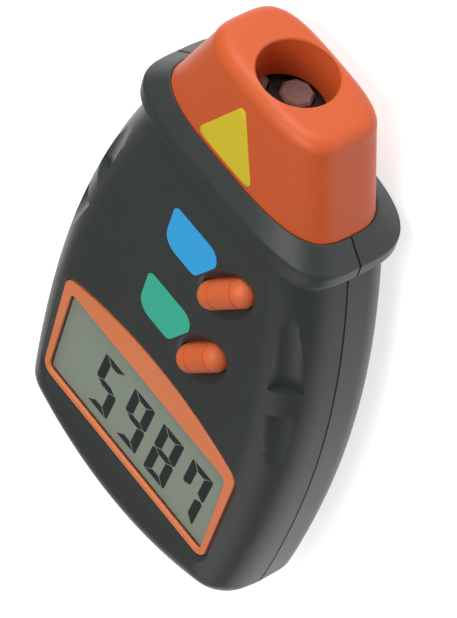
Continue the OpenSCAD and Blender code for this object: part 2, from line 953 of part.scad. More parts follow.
module capacitors() {
    color("#3a4a6a") place() for (at = capacitor_at) translate([at.x, -at.y, board_top])
        cylinder(h = capacitor_h, r = capacitor_r, $fn = round_fn / 2);
}

module chip_resistors() {
    color("#3c3c3c") place() for (i = [0 : resistor_rows - 1])
        translate([resistor_at.x, -resistor_at.y - i * resistor_step, board_top + resistor_size.z / 2])
            cube(resistor_size, center = true);
}

module push_switch(spot) {
    place() at_button(spot) translate([0, 0, board_top]) difference() {
        rounded_box([switch_w, switch_w, switch_h], switch_corner_r);
        translate([0, 0, switch_clear / 2])
            cylinder(h = switch_h + over, r = plunger_r + plunger_gap, $fn = round_fn);
    }
}

module plunger(spot) {
    foot = board_top + switch_clear + button_travel;
    place() at_button(spot) translate([0, 0, foot])
        cylinder(h = button_floor - foot, r = plunger_r, $fn = round_fn);
}

module mem_switch() {
    color("#303234") push_switch(mem_at);
}

module test_switch() {
    color("#303234") push_switch(test_at);
}

module mem_plunger() {
    color("#c8c8c4") plunger(mem_at);
}

module test_plunger() {
    color("#c8c8c4") plunger(test_at);
}

// Outline across a button, from its floor up to its round top
module cap_outline(shrink) {
    r = button_w / 2 - shrink;
    intersection() {
        union() {
            translate([-r, 0]) square([2 * r, button_axis_z - button_floor]);
            translate([0, button_axis_z - button_floor]) circle(r, $fn = round_fn);
        }
        translate([-button_w, 0]) square([2 * button_w, button_axis_z]);
    }
}

module cap_half() {
    intersection() {
        cap_outline(0);
        square([button_w, button_axis_z]);
    }
}

// A cap with a round top, two ring grooves and a flange under the case
module button_cap(spot, length) {
    half = (length - button_w) / 2;
    place() at_button(spot) translate([0, 0, button_floor]) {
        linear_extrude(flange_h) slot(length + 2 * flange_w, button_w + 2 * flange_w);
        difference() {
            union() {
                translate([-half, 0, 0]) rotate([90, 0, 90]) linear_extrude(2 * half) cap_outline(0);
                for (turn = [0, 180]) rotate([0, 0, turn]) translate([half, 0, 0]) rotate([0, 0, -90])
                    rotate_extrude(angle = 180, $fn = round_fn) cap_half();
            }
            for (share = button_ring_shares) translate([length / 2 * share - button_groove_w / 2, 0, 0])
                rotate([90, 0, 90]) linear_extrude(button_groove_w) difference() {
                    translate([-button_w, flange_h]) square([2 * button_w, button_axis_z]);
                    cap_outline(button_groove_d);
                }
        }
    }
}

module mem_button() {
    color("#e0703f") button_cap(mem_at, mem_l);
}

module test_button() {
    color("#e0703f") button_cap(test_at, test_l);
}

// Optics, each place as across and height from the seam

module at_optic(at, y) {
    translate([at.x, y, at.y]) rotate([-90, 0, 0]) children();
}

module optics_block() {
    barrel_y = block_tip - lens_seat - seat_gap - barrel_l;
    color("#222326") place() difference() {
        along(block_tip, block_l) oval(block_half_w, block_front, block_rear, oval_base_power);
        for (at = [receiver_at, emitter_at]) at_optic(at, block_tip - lens_seat)
            cylinder(h = lens_seat + over, r = lens_r + lens_gap, $fn = round_fn / 2);
        at_optic(receiver_at, -sensor_drop - over) cylinder(h = block_l, r = tube_r, $fn = round_fn / 2);
        at_optic(emitter_at, -sensor_drop - over)
            cylinder(h = block_l, r = barrel_r + screw_gap, $fn = round_fn / 2);
        for (x = [-1, 1]) at_optic([x * optics_screw_at, 0], -sensor_drop - over)
            cylinder(h = board_screw_l + over, r = board_screw_r + screw_gap, $fn = round_fn / 2);
    }
}

// An eight sided lens with a bevelled face
module lens(at) {
    at_optic(at, block_tip - lens_seat + seat_gap) {
        rotate([0, 0, lens_turn])
            cylinder(h = lens_l - seat_gap - lens_bevel_h, r = lens_r, $fn = lens_sides);
        translate([0, 0, lens_l - seat_gap - lens_bevel_h]) rotate([0, 0, lens_turn])
            cylinder(h = lens_bevel_h, r1 = lens_r, r2 = lens_r - lens_bevel, $fn = lens_sides);
    }
}

module receiver_lens() {
    color("#a89a98") place() lens(receiver_at);
}

module emitter_lens() {
    color("#8c8e90") place() lens(emitter_at);
}

module laser_barrel() {
    color("#b08c3c") place() at_optic(emitter_at, block_tip - lens_seat - seat_gap - barrel_l) difference() {
        cylinder(h = barrel_l, r = barrel_r, $fn = round_fn);
        translate([0, 0, -over]) cylinder(h = barrel_l + 2 * over, r = barrel_bore_r, $fn = round_fn / 2);
        translate([0, 0, -over]) cylinder(h = barrel_back_l + over, r = barrel_back_r, $fn = round_fn / 2);
    }
}

module laser_diode() {
    color("#c8a050") place() at_optic(emitter_at, -sensor_drop) union() {
        cylinder(h = block_l - lens_seat - barrel_l + diode_l, r = diode_r - seat_gap, $fn = round_fn / 2);
    }
}

module photodiode() {
    color("#3a3238") place() at_optic(receiver_at, -sensor_drop) {
        cylinder(h = photo_l - photo_r, r = photo_r, $fn = round_fn / 2);
        translate([0, 0, photo_l - photo_r]) sphere(photo_r, $fn = round_fn / 2);
    }
}

module sensor_board() {
    color("#2e6b3c") place() difference() {
        translate([-sensor_half_w, -sensor_drop - sensor_t, -sensor_rear])
            cube([2 * sensor_half_w, sensor_t, sensor_front + sensor_rear]);
        for (x = [-1, 1]) at_optic([x * optics_screw_at, 0], -sensor_drop - sensor_t - over)
            cylinder(h = sensor_t + 2 * over, r = board_screw_r + board_hole_gap, $fn = round_fn / 2);
    }
}

module pin_header() {
    color("#202224") place()
        translate([-header_w / 2, -sensor_drop - sensor_t - header_l, board_z - header_h])
            cube([header_w, header_l, header_h]);
}

// Battery and its connector

module battery_can() {
    color("#30343a") place() translate([0, -battery_drop - battery_l, battery_z + battery_t / 2])
        rotate([-90, 0, 0]) rounded_box([battery_w, battery_t, battery_l], battery_edge_r);
}

module battery_cap() {
    color("#1e1e20") place() translate([0, -battery_drop, battery_z + battery_t / 2])
        rotate([-90, 0, 0]) rounded_box([battery_w - cap_t, battery_t - cap_t, cap_t], battery_edge_r);
}

module at_terminal(side) {
    translate([side * terminal_step / 2, -battery_drop + cap_t, battery_z + battery_t / 2])
        rotate([-90, 0, 0]) children();
}

module battery_terminals() {
    color("#c4c6c8") place() {
        at_terminal(-1) cylinder(h = terminal_h, r = round_terminal_r, $fn = round_fn / 2);
        at_terminal(1) cylinder(h = terminal_h, r = hex_terminal_r, $fn = 6);
    }
}

module snap_connector() {
    color("#1c1c1e") place() difference() {
        translate([0, -battery_drop + cap_t + snap_gap, battery_z + battery_t / 2]) rotate([-90, 0, 0])
            rounded_box([snap_w, snap_h, snap_t], battery_edge_r);
        for (side = [-1, 1]) at_terminal(side) translate([0, 0, -over])
            cylinder(h = terminal_h + snap_gap + contact_t + over,
                r = hex_terminal_r + contact_wall + seat_gap * 2,
                $fn = round_fn / 2);
    }
}

module snap_contacts() {
    color("#c4c6c8") place() for (side = [-1, 1]) at_terminal(side) difference() {
        translate([0, 0, snap_gap])
            cylinder(h = terminal_h + contact_t, r = hex_terminal_r + contact_wall + seat_gap,
            $fn = round_fn / 2);
        translate([0, 0, -over]) cylinder(h = terminal_h + seat_gap + over,
            r = (side < 0 ? round_terminal_r : hex_terminal_r) + seat_gap, $fn = round_fn / 2);
    }
}

module lead(side) {
    place() for (i = [0 : len(lead_route) - 2]) hull()
        for (p = [lead_route[i], lead_route[i + 1]])
            translate([side * p.x, -p.y, p.z]) sphere(lead_r, $fn = lead_fn);
}

module lead_red() {
    color("#b02a24") lead(1);
}

module lead_black() {
    color("#1a1a1c") lead(-1);
}

module battery_foam() {
    color("#5a5c5e") place()
        translate([-foam_half_w, -battery_drop - battery_l - foam_gap - foam_t, battery_z + battery_edge_r])
            cube([2 * foam_half_w, foam_t, foam_h]);
}

// Fasteners

// A pan head screw, its head's seat at zero and its point up
module screw(head_r, head_h, shank_r, length) {
    difference() {
        union() {
            translate([0, 0, -head_h]) cylinder(h = head_h, r = head_r, $fn = round_fn / 2);
            cylinder(h = length - shank_r, r = shank_r, $fn = round_fn / 2);
            translate([0, 0, length - shank_r])
                cylinder(h = shank_r, r1 = shank_r, r2 = shank_r * screw_tip_share,
                $fn = round_fn / 2);
        }
        for (turn = [0, 90]) rotate([0, 0, turn]) translate([0, 0, -head_h])
            cube([head_r * screw_slot_share, screw_slot_w, screw_slot_d * 2], center = true);
    }
}

module case_screws() {
    color("#8e9296") place() both_sides() for (at = case_screw_at)
        translate([at.x, -at.y, -case_seat_z]) screw(case_head_r, case_head_h, case_screw_r, case_screw_l);
}

module board_screws() {
    color("#a4a8ac") place() {
        for (at = board_screw_at) translate([at.x, -at.y, board_z])
            screw(board_head_r, board_head_h, board_screw_r, board_screw_l - seat_gap);
        for (x = [-1, 1]) at_optic([x * optics_screw_at, 0], -sensor_drop - sensor_t)
            screw(board_head_r, board_head_h, board_screw_r, board_screw_l - seat_gap);
    }
}

// Trim

module badge(at) {
    place() translate([at.x, -at.y, front_d]) linear_extrude(trim_t)
        offset(r = badge_r, $fn = round_fn / 2) offset(delta = -badge_r) polygon([
            [0, 0], [badge_w, 0], [badge_w, -badge_side_h], [badge_w - badge_slant, -badge_h], [0, -badge_h]
        ]);
}

module mem_badge() {
    color("#2eb0ff") badge(mem_badge_at);
}

module test_badge() {
    color("#40c8a8") badge(test_badge_at);
}

module back_label() {
    color("#b4b8ba") place() translate([0, -label_drop - label_h / 2, label_pocket - rear_d - trim_t])
        rounded_box([label_w, label_h, trim_t], label_r);
}

front_case();
rear_case();
nose_hood();
display_bezel();
display_window();
lcd_front_glass();
lcd_rear_glass();
lcd_holder();
zebra_strips();
main_board();
controller_chip();
driver_chip();
crystal();
capacitors();
chip_resistors();
mem_button();
test_button();
mem_switch();
test_switch();
mem_plunger();
test_plunger();
optics_block();
receiver_lens();
emitter_lens();
laser_barrel();
laser_diode();
photodiode();
sensor_board();
pin_header();
battery_can();
battery_cap();
battery_terminals();
snap_connector();
snap_contacts();
lead_red();
lead_black();
battery_foam();
battery_door();
case_screws();
board_screws();
mem_badge();
test_badge();
nose_sticker();
back_label();
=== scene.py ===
# %% [markdown]
# # A handheld tachometer, dressed for a picture
#
# The meter is a dark moulded case in two halves, an orange nose with a round light port, an
# orange bezel round a liquid crystal display, and two orange push buttons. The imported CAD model
# gives every size and every joint. This lesson loads it, keeps the pieces that are right as they
# are, and makes smoother ones where a drawn surface should curve without facets.

# %% Load the model and measure it
import math
import bpy
import bmesh
from mathutils import Matrix, Vector


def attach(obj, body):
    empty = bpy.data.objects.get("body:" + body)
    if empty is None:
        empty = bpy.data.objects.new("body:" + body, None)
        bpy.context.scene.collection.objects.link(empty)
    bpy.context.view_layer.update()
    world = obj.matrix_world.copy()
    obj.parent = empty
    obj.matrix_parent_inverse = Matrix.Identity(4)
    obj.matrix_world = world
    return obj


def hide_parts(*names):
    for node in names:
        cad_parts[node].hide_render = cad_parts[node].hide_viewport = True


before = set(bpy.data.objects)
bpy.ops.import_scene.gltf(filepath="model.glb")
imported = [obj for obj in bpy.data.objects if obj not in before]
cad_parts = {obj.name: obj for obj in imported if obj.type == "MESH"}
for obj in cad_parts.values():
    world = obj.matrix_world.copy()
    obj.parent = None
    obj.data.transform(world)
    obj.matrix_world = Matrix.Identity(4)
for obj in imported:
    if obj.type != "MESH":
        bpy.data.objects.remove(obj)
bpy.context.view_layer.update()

# %% [markdown]
# ## Two ways to say a place
#
# Drawings of such a case are easier to read from two lines: the top of the collar, where the nose
# starts, and the seam between the two halves. So every place below is written in millimetres from
# those two lines, and one function turns it into the model's own metres.

# %% Places in millimetres
COLLAR_Y = 44.9
SEAM_Z = 15.7


def show(name, data):
    """A new object of the scene, with this mesh, curve, lamp or camera."""
    obj = bpy.data.objects.new(name, data)
    bpy.context.scene.collection.objects.link(obj)
    return obj


def place(x, y, z):
    """Millimetres from the collar's top and the seam, as the model's metres."""
    return x / 1000, (y + COLLAR_Y) / 1000, (z + SEAM_Z) / 1000


print("collar top and seam meet at", place(0, 0, 0))

# %% [markdown]
# ## The camera
#
# The picture was taken with a long lens from the nose's right, well above the front face, and the
# camera was rolled over so that the meter stands up in the frame. A long lens keeps the far end
# nearly as large as the near one. The camera's turn is given by its right and backward directions.

# %% Camera
FOCAL_PIXELS, PICTURE_PIXELS = 5133.9, 618
EYE = (360.6, 699.0, 479.5)
camera = show("camera", bpy.data.cameras.new("camera"))
bpy.context.scene.camera = camera
camera.data.sensor_fit = "VERTICAL"
camera.data.sensor_height = 36
camera.data.lens = FOCAL_PIXELS * camera.data.sensor_height / PICTURE_PIXELS
camera.data.clip_end = 50
right = Vector((0.5950, 0.2130, -0.7750)).normalized()
back = Vector((0.3740, 0.7800, 0.5020)).normalized()
up = back.cross(right).normalized()
right = up.cross(back)
turn = Matrix((right, up, back)).transposed().to_4x4()
camera.matrix_world = Matrix.Translation(place(*EYE)) @ turn
print("lens", round(camera.data.lens, 1), "mm")

# %% [markdown]
# ## Finishes
#
# Nearly everything here is moulded plastic. What the eye reads on it is the grain that the mould
# left, a soft sheen, and a very slight unevenness of colour. Each finish is built from nodes,
# with its grain given in millimetres. Colours are written as a painter's hex codes and turned to
# the linear numbers that Blender works in. Clear plastics let every ray pass that carries soft
# light, so that what lies behind them is lit as it would be in the open.


# %% Helpers for finishes
def linear(code):
    """A hex code as linear red, green and blue, with full cover."""
    parts = [int(code[i : i + 2], 16) / 255 for i in (1, 3, 5)]
    return [p / 12.92 if p < 0.04045 else ((p + 0.055) / 1.055) ** 2.4 for p in parts] + [1]


def fresh_tree(owner):
    """The emptied node tree of a material or a world."""
    owner.use_nodes = True
    owner.node_tree.nodes.clear()
    return owner.node_tree


def put(tree, kind, inputs=None, **settings):
    """Adds one node. Its inputs are numbers, sockets, or nodes whose first output is meant."""
    node = tree.nodes.new(kind)
    for name, value in settings.items():
        setattr(node, name, value)
    for key, value in (inputs or {}).items():
        if isinstance(value, bpy.types.Node):
            value = value.outputs[0]
        if isinstance(value, bpy.types.NodeSocket):
            tree.links.new(value, node.inputs[key])
        else:
            node.inputs[key].default_value = value
    return node


def highest(tree, *sockets):
    """The highest of two or three numbers."""
    top = sockets[0]
    for socket in sockets[1:]:
        top = put(tree, "ShaderNodeMath", {0: top, 1: socket}, operation="MAXIMUM")
    return top


def finish(name, code, rough, grain_mm=0.0, grain_depth_mm=0.0, drift=0.06, **surface):
    """A finish whose colour drifts a little, with a grain of the given size and depth."""
    made = bpy.data.materials.new(name)
    tree = fresh_tree(made)
    spot = put(tree, "ShaderNodeTexCoord").outputs["Object"]
    cloud = put(tree, "ShaderNodeTexNoise", {"Vector": spot, "Scale": 70, "Detail": 3})
    colour = linear(code)
    tint = colour
    if drift:
        low = [c * (1 - drift) for c in colour[:3]] + [1]
        high = [min(1, c * (1 + drift)) for c in colour[:3]] + [1]
        mix = put(tree, "ShaderNodeMix", {"Factor": cloud, 6: low, 7: high}, data_type="RGBA")
        tint = mix.outputs[2]
    limits = {"Value": cloud, "To Min": rough * 0.9, "To Max": min(1, rough * 1.1)}
    gloss = put(tree, "ShaderNodeMapRange", limits)
    surface = {"Base Color": tint, "Roughness": gloss, **surface}
    if grain_mm:
        grain = {"Vector": spot, "Scale": 1000 / grain_mm, "Detail": 2, "Roughness": 0.6}
        grain = put(tree, "ShaderNodeTexNoise", grain)
        bump = {"Height": grain, "Strength": 1, "Distance": grain_depth_mm / 1000}
        surface["Normal"] = put(tree, "ShaderNodeBump", bump)
    skin = put(tree, "ShaderNodeBsdfPrincipled", surface)
    if surface.get("Transmission Weight"):
        ray = put(tree, "ShaderNodeLightPath").outputs
        soft = highest(tree, ray["Is Shadow Ray"], ray["Is Diffuse Ray"], ray["Is Glossy Ray"])
        clear = put(tree, "ShaderNodeBsdfTransparent", {"Color": colour})
        skin = put(tree, "ShaderNodeMixShader", {0: soft, 1: skin, 2: clear})
    put(tree, "ShaderNodeOutputMaterial", {"Surface": skin})
    return made


# %% [markdown]
# The case is ABS from a spark eroded mould: its grain is about a third of a millimetre, and it
# turns highlights into a wide soft sheen. The nose and bezel come from smoother moulds. The
# buttons are silicone, which is a little softer in its sheen, and the window is clear acrylic.

# %% Finishes of the outside
CASE_SHEEN, NOSE_SHEEN = {"Specular IOR Level": 0.3}, {"Specular IOR Level": 0.35}
PANE, LENS = {"Transmission Weight": 1.0, "IOR": 1.49}, {"Transmission Weight": 0.7, "IOR": 1.49}
case_abs = finish("spark textured ABS", "#3A3F3D", 0.36, 0.35, 0.012, 0.05, **CASE_SHEEN)
nose_abs = finish("satin orange ABS", "#DA6131", 0.4, 0.5, 0.004, 0.03, **NOSE_SHEEN)
bezel_abs = finish("satin orange ABS bezel", "#FC905C", 0.45, 0.4, 0.003, 0.02)
button_silicone = finish("moulded orange silicone", "#EA6F3C", 0.5, 0.3, 0.003, 0.03)
window_acrylic = finish("clear acrylic window", "#F4F8F4", 0.03, drift=0, **PANE)
lens_acrylic = finish("moulded acrylic lens", "#F4C8C0", 0.06, drift=0, **LENS)
blue_film = finish("printed blue film", "#38BAFF", 0.4, 0.2, 0.001, 0.01)
green_film = finish("printed green film", "#40C8A8", 0.4, 0.2, 0.001, 0.01)
yellow_film = finish("printed yellow film", "#E6CE2C", 0.35, 0.2, 0.001, 0.02)
silver_film = finish("plain silvered film", "#AEB3B5", 0.38, 0.3, 0.002, 0.03, Metallic=0.5)
display_film = finish("reflective display film", "#B6BBB2", 0.35, 0.25, 0.0015, 0.025)
display_ink = finish("dark liquid crystal segments", "#1A1921", 0.4, 0.2, 0.001, 0.05)
print("materials so far:", len(bpy.data.materials))

# %% [markdown]
# Behind the door and inside the case are the finishes of electronics: green solder mask over
# glass epoxy, black moulded epoxy, nickel and zinc plate, turned brass, soft vinyl and grey foam.

# %% Finishes of the inside
black_abs = finish("black moulded ABS", "#1C1D1F", 0.45, 0.3, 0.006)
solder_mask = finish("green solder mask", "#1F5A34", 0.3, 0.6, 0.004, 0.12)
chip_epoxy = finish("moulded chip epoxy", "#232528", 0.6, 0.15, 0.004)
nickel = finish("nickel plate", "#B9BCC0", 0.25, 0.4, 0.002, 0.04, Metallic=1.0)
zinc = finish("zinc plated steel", "#A7ABB0", 0.35, 0.3, 0.003, 0.06, Metallic=1.0)
brass = finish("turned brass", "#B8923F", 0.3, 0.2, 0.002, 0.06, Metallic=1.0)
gold = finish("gold plate", "#CFA050", 0.25, 0.3, 0.001, 0.03, Metallic=1.0)
capacitor_sleeve = finish("shrink sleeve", "#2B3B5E", 0.3, 0.5, 0.002)
zebra_silicone = finish("layered silicone", "#C8587C", 0.5, 0.2, 0.003)
switch_nylon = finish("white nylon", "#CFCFC8", 0.45, 0.3, 0.003)
battery_wrap = finish("painted steel wrap", "#2E3238", 0.3, 0.6, 0.002, 0.04)
battery_card = finish("black top card", "#17171A", 0.6, 0.3, 0.006)
vinyl = finish("soft black vinyl", "#151517", 0.5, 0.4, 0.008)
red_sleeve = finish("red wire sleeve", "#B3241D", 0.4, 0.3, 0.004)
black_sleeve = finish("black wire sleeve", "#161618", 0.4, 0.3, 0.004)
foam = finish("open cell foam", "#55575A", 0.95, 0.5, 0.12, 0.15)
print("materials in all:", len(bpy.data.materials))

# %% [markdown]
# ## Helpers for shapes
#
# The case and the nose are lofts: the same outline drawn again and again at other sizes, with
# faces stretched between neighbours. A loft keeps its curves smooth without many faces. Pockets,
# dishes and slots are then taken out with other closed shapes, as a mould maker cuts them in
# steel.


# %% Lofts, cuts and shading
def solid(name, points, faces):
    """A mesh object from points in millimetres, with its faces turned outwards."""
    mesh = bpy.data.meshes.new(name)
    mesh.from_pydata([place(*p) for p in points], [], faces)
    shape = bmesh.new()
    shape.from_mesh(mesh)
    bmesh.ops.recalc_face_normals(shape, faces=shape.faces)
    shape.to_mesh(mesh)
    shape.free()
    return show(name, mesh)


def loft(name, rings):
    """A closed solid through rings that all have the same number of points."""
    count = len(rings[0])
    faces = [list(range(count))[::-1], [count * (len(rings) - 1) + i for i in range(count)]]
    for r in range(len(rings) - 1):
        for i in range(count):
            j = (i + 1) % count
            faces.append([r * count + i, r * count + j, (r + 1) * count + j, (r + 1) * count + i])
    return solid(name, [p for ring in rings for p in ring], faces)


def box(name, low, high):
    """A block between two opposite corners."""
    (a, b, c), (d, e, f) = low, high
    flat = [(a, b), (d, b), (d, e), (a, e)]
    return loft(name, [[(x, y, z) for x, y in flat] for z in (c, f)])


def rod(name, start, end, radius, count=64):
    """A round rod between two places."""
    start, end = Vector(start), Vector(end)
    spin = (end - start).to_track_quat("Z", "Y")
    around = [2 * math.pi * i / count for i in range(count)]
    spokes = [spin @ Vector((radius * math.cos(a), radius * math.sin(a), 0)) for a in around]
    return loft(name, [[tuple(centre + spoke) for spoke in spokes] for centre in (start, end)])


def arc(centre, radius, first, last, steps):
    """Points along an arc, both ends among them."""
    turns = [first + (last - first) * i / steps for i in range(steps + 1)]
    return [(centre[0] + radius * math.cos(a), centre[1] + radius * math.sin(a)) for a in turns]


def mirrored(half):
    """An outline from its right half, which ends on the middle line."""
    return half + [(-x, y) for x, y in half[-2::-1]]


def plain_mesh(obj):
    """The object's mesh with all its modifiers run."""
    bpy.context.view_layer.update()
    depsgraph = bpy.context.evaluated_depsgraph_get()
    return bpy.data.meshes.new_from_object(obj.evaluated_get(depsgraph))


def combine(base, others, how="DIFFERENCE"):
    """Cuts the others from the base, or joins them to it, and throws the others away."""
    for other in others:
        step = base.modifiers.new("cut", "BOOLEAN")
        step.operation = how
        step.solver = "MANIFOLD"
        step.object = other
        done = plain_mesh(base)
        base.modifiers.remove(step)
        base.data = done
        bpy.data.objects.remove(other)
    return base


def shade(obj, material, angle=32):
    """Merges doubles, gives one finish, smooths every edge softer than the angle, says so."""
    shape = bmesh.new()
    shape.from_mesh(obj.data)
    bmesh.ops.remove_doubles(shape, verts=shape.verts, dist=2e-6)
    bmesh.ops.dissolve_degenerate(shape, edges=shape.edges, dist=1e-6)
    bmesh.ops.recalc_face_normals(shape, faces=shape.faces)
    limit = math.radians(angle)
    for face in shape.faces:
        face.smooth = True
        face.material_index = 0
    for edge in shape.edges:
        edge.smooth = edge.is_manifold and edge.calc_face_angle(0) < limit
    shape.to_mesh(obj.data)
    shape.free()
    obj.data.materials.clear()
    obj.data.materials.append(material)
    weigh = obj.modifiers.new("weigh", "WEIGHTED_NORMAL")
    weigh.mode = "FACE_AREA"
    weigh.keep_sharp = True
    done = plain_mesh(obj)
    obj.modifiers.remove(weigh)
    obj.data = done
    print(obj.name, "with", len(done.polygons), "faces")

# %% [markdown]
# ## The outline of the case
#
# Seen from the front the case is drawn with arcs only: two long arcs down each side, which meet
# where it is widest, at the display's top, a round bottom, and a small arc in each lower corner.
# With every arc moved inwards, the same outline gives each level of the rounded edge.

# %% Case outline
CASE_W, WIDE_DROP, BOTTOM_DROP = 70.0, 65.0, 110.4
UPPER_R, LOWER_R, BOTTOM_R, CORNER_R, CORNER_LEAST = 179.0, 251.0, 71.0, 8.0, 3.5
CASE_TOP, HOLLOW_TOP, SEAM_GROOVE = 4.4, 5.2, 0.22
WALL, OVERRUN, FACE_STEP = 2.0, 0.5, 0.6
# Each half: its side of the seam, its depth, how far its edge rounds in and down, its draft.
FRONT, REAR = (1, 12.0, 9.0, 9.3, 1.0), (-1, 15.7, 19.2, 10.6, 0.3)


def case_outline(inset, z, top=CASE_TOP):
    """Points down the right side, round the bottom and up the left, all moved inwards."""
    upper, lower, bottom = UPPER_R - inset, LOWER_R - inset, BOTTOM_R - inset
    corner = max(CORNER_R - inset, CORNER_LEAST)
    half = []
    steps = 26
    for i in range(steps):
        y = -top + (top - WIDE_DROP) * i / steps
        half.append((CASE_W / 2 - UPPER_R + math.sqrt(upper**2 - (y + WIDE_DROP) ** 2), y))
    side = Vector((CASE_W / 2 - LOWER_R, -WIDE_DROP))
    low = Vector((0.0, BOTTOM_R - BOTTOM_DROP))
    gap = (low - side).length
    near, far = lower - corner, bottom - corner
    along = (near**2 - far**2 + gap**2) / (2 * gap)
    off = math.sqrt(near**2 - along**2)
    way = (low - side).normalized()
    middle = side + way * along + Vector((way.y, -way.x)) * off
    first = math.atan2(*(middle - side).yx)
    last = math.atan2(*(middle - low).yx)
    half += arc(side, lower, 0, first, 20)[:-1]
    half += arc(middle, corner, first, last, 14)[:-1]
    half += arc(low, bottom, last, -math.pi / 2, 24)
    return [(x, y, z) for x, y in mirrored(half)]


def shell_form(name, half, skin=0.0, top=CASE_TOP, groove=0.0):
    """One half of the case as a closed form: a drafted side, then a quarter oval inwards."""
    side, depth, round_in, round_h, draft = half
    rings = [case_outline(skin + groove, -side * (OVERRUN if skin else 0), top)]
    if groove:
        rings.append(case_outline(skin, side * groove, top))
    steps = 14
    for i in range(steps + 1):
        a = math.pi / 2 * i / steps
        z = depth - skin - round_h * (1 - math.sin(a))
        inset = skin + round_in * (1 - math.cos(a)) + draft * z / depth
        rings.append(case_outline(inset, side * z, top))
    rings.append(case_outline(inset + FACE_STEP, side * z, top))
    return loft(name, rings)


print("case outline:", len(case_outline(0, 0)), "points")

# %% [markdown]
# ## Ovals for the collar and the nose
#
# The collar and the nose are squarish ovals. A superellipse draws these with one number for how
# square the corners are, and a front and a rear depth that may differ.


# %% Squarish ovals
def oval(y, half_w, front, rear, power):
    """A superellipse at one height, with its own depth to the front and to the rear."""
    count = 128
    points = []
    for i in range(count):
        a = 2 * math.pi * (i + 0.5) / count
        x, z = (math.copysign(abs(n) ** (2 / power), n) for n in (math.cos(a), math.sin(a)))
        points.append((half_w * x, y, (front if z > 0 else rear) * z))
    return points


def between(first, last, share):
    """Four numbers part of the way from the first four to the last four."""
    return [a + (b - a) * share for a, b in zip(first, last)]


def wider(form, by):
    """The same oval, drawn wider and deeper by one distance."""
    return [n + by for n in form[:3]] + [form[3]]


NOSE_BASE = (23.2, 10.8, 11.5, 3.2)
NOSE_TIP = (16.9, 9.7, 10.0, 3.5)
NOSE_L, NOSE_ROUND, FLANGE_OUT, NOSE_FIT = 20.6, 3.2, 1.4, 0.15
COLLAR = (27.8, 13.3, 15.7, 3.7)
COLLAR_SLOPE, COLLAR_STEP, SEAM_DEPTH = 3.7, 0.3, 0.3
# Cuts may end at these places, well outside the case.
OUTSIDE, OUT_FOOT, OUT_BACK = 60, -140, -20
# The band's levels, and how much narrower each is; the fillet's, how far in and how far sunk.
BAND = ((-3.62, 0.16), (-3.85, 0.04), (-4.15, 0.0), (-6.2, 0.0), (-6.5, 0.03), (-6.7, 0.12))
FILLET = ((-6.85, 0.4, 0.3), (-7.2, 0.8, 0.62), (-7.8, 1.2, 0.92), (-8.6, 1.6, 1.15),
          (-9.5, 1.85, 1.32), (-10.6, 2.1, 1.5), (-12.0, 2.6, 1.9))


def collar_form(skin=0.0):
    """The collar's slope, its band, and the hollow fillet that runs into the case."""
    half_w, front, rear, power = COLLAR
    base = wider(NOSE_BASE, COLLAR_STEP)
    rings = [oval(0, *base), oval(-0.12, *between(base, COLLAR, 0.06))]
    for share in (0.3, 0.6, 0.86, 0.94):
        rings.append(oval(-COLLAR_SLOPE * share, *between(base, COLLAR, share)))
    for y, less in BAND:
        rings.append(oval(y, half_w - less, front - less * 0.8, rear - less * 0.3, power))
    for y, inset, sink in FILLET:
        rings.append(oval(y, half_w - inset, front - sink, rear - sink * 0.6, power))
    if skin:
        thin_x, thin_z = 1 - skin / half_w, 1 - 2 * skin / (front + rear)
        rings = [[(x * thin_x, y - skin, z * thin_z) for x, y, z in ring] for ring in rings]
    return loft("collar", rings)


def collar_half(side):
    """The collar on one side of the seam, with half of the seam's groove round it."""
    half = collar_form()
    low, high = sorted((-side * OUTSIDE, 0))
    cut = box("cut", (-OUTSIDE, -OUTSIDE, low), (OUTSIDE, OUTSIDE, high))
    combine(half, [cut])
    low, high = sorted((-side, side * SEAM_GROOVE))
    slab = box("slab", (-OUTSIDE, -OUTSIDE, low), (OUTSIDE, OUTSIDE, high))
    combine(slab, [collar_form(skin=SEAM_DEPTH)])
    return combine(half, [slab])


print("collar drawn with", len(BAND) + len(FILLET) + 6, "ovals")

# %% [markdown]
# ## The front half
#
# The front half starts as the rounded form with the collar's front half joined on. Everything
# else is cut: the hollow inside, the stepped pocket for the bezel, an oval dish round each button
# with its slot, and two thumb hollows down each side, which are round channels let into the edge.
# First comes the outline that the bezel and its pocket share.


# %% Outlines of the display
BEZEL_TOP, BEZEL_LOW, BEZEL_ARC, BEZEL_CORNER = -60.4, -92.8, 83, 2.9
BEZEL_TOP_HALF, BEZEL_LOW_HALF = 27.1, 26.0


def bezel_ring(grow, z):
    """The bezel's outline: straight sides and foot, a bulging top, four round corners."""
    arc_y, arc_r = BEZEL_TOP - BEZEL_ARC, BEZEL_ARC + grow
    corner = BEZEL_CORNER + grow
    lean = math.atan2(BEZEL_TOP_HALF - BEZEL_LOW_HALF, BEZEL_TOP - BEZEL_LOW)
    edge = Vector((math.cos(lean), -math.sin(lean)))
    rise = Vector((math.sin(lean), math.cos(lean)))
    inner = Vector((BEZEL_LOW_HALF, BEZEL_LOW)) + edge * (grow - corner)
    foot = inner + rise * ((BEZEL_LOW - grow + corner - inner.y) / rise.y)
    offset = inner - Vector((0, arc_y))
    b, c = offset.dot(rise), offset.length_squared - (arc_r - corner) ** 2
    top = inner + rise * (-b + math.sqrt(b * b - c))
    lift = math.atan2(top.y - arc_y, top.x)
    half = arc(foot, corner, -math.pi / 2, -lean, 11) + arc(top, corner, -lean, lift, 11)
    half += arc((0, arc_y), arc_r, lift, math.pi / 2, 19)[1:]
    return [(x, y, z) for x, y in mirrored(half)]


WINDOW, WINDOW_Y = (49.2, 23.9), -79.35


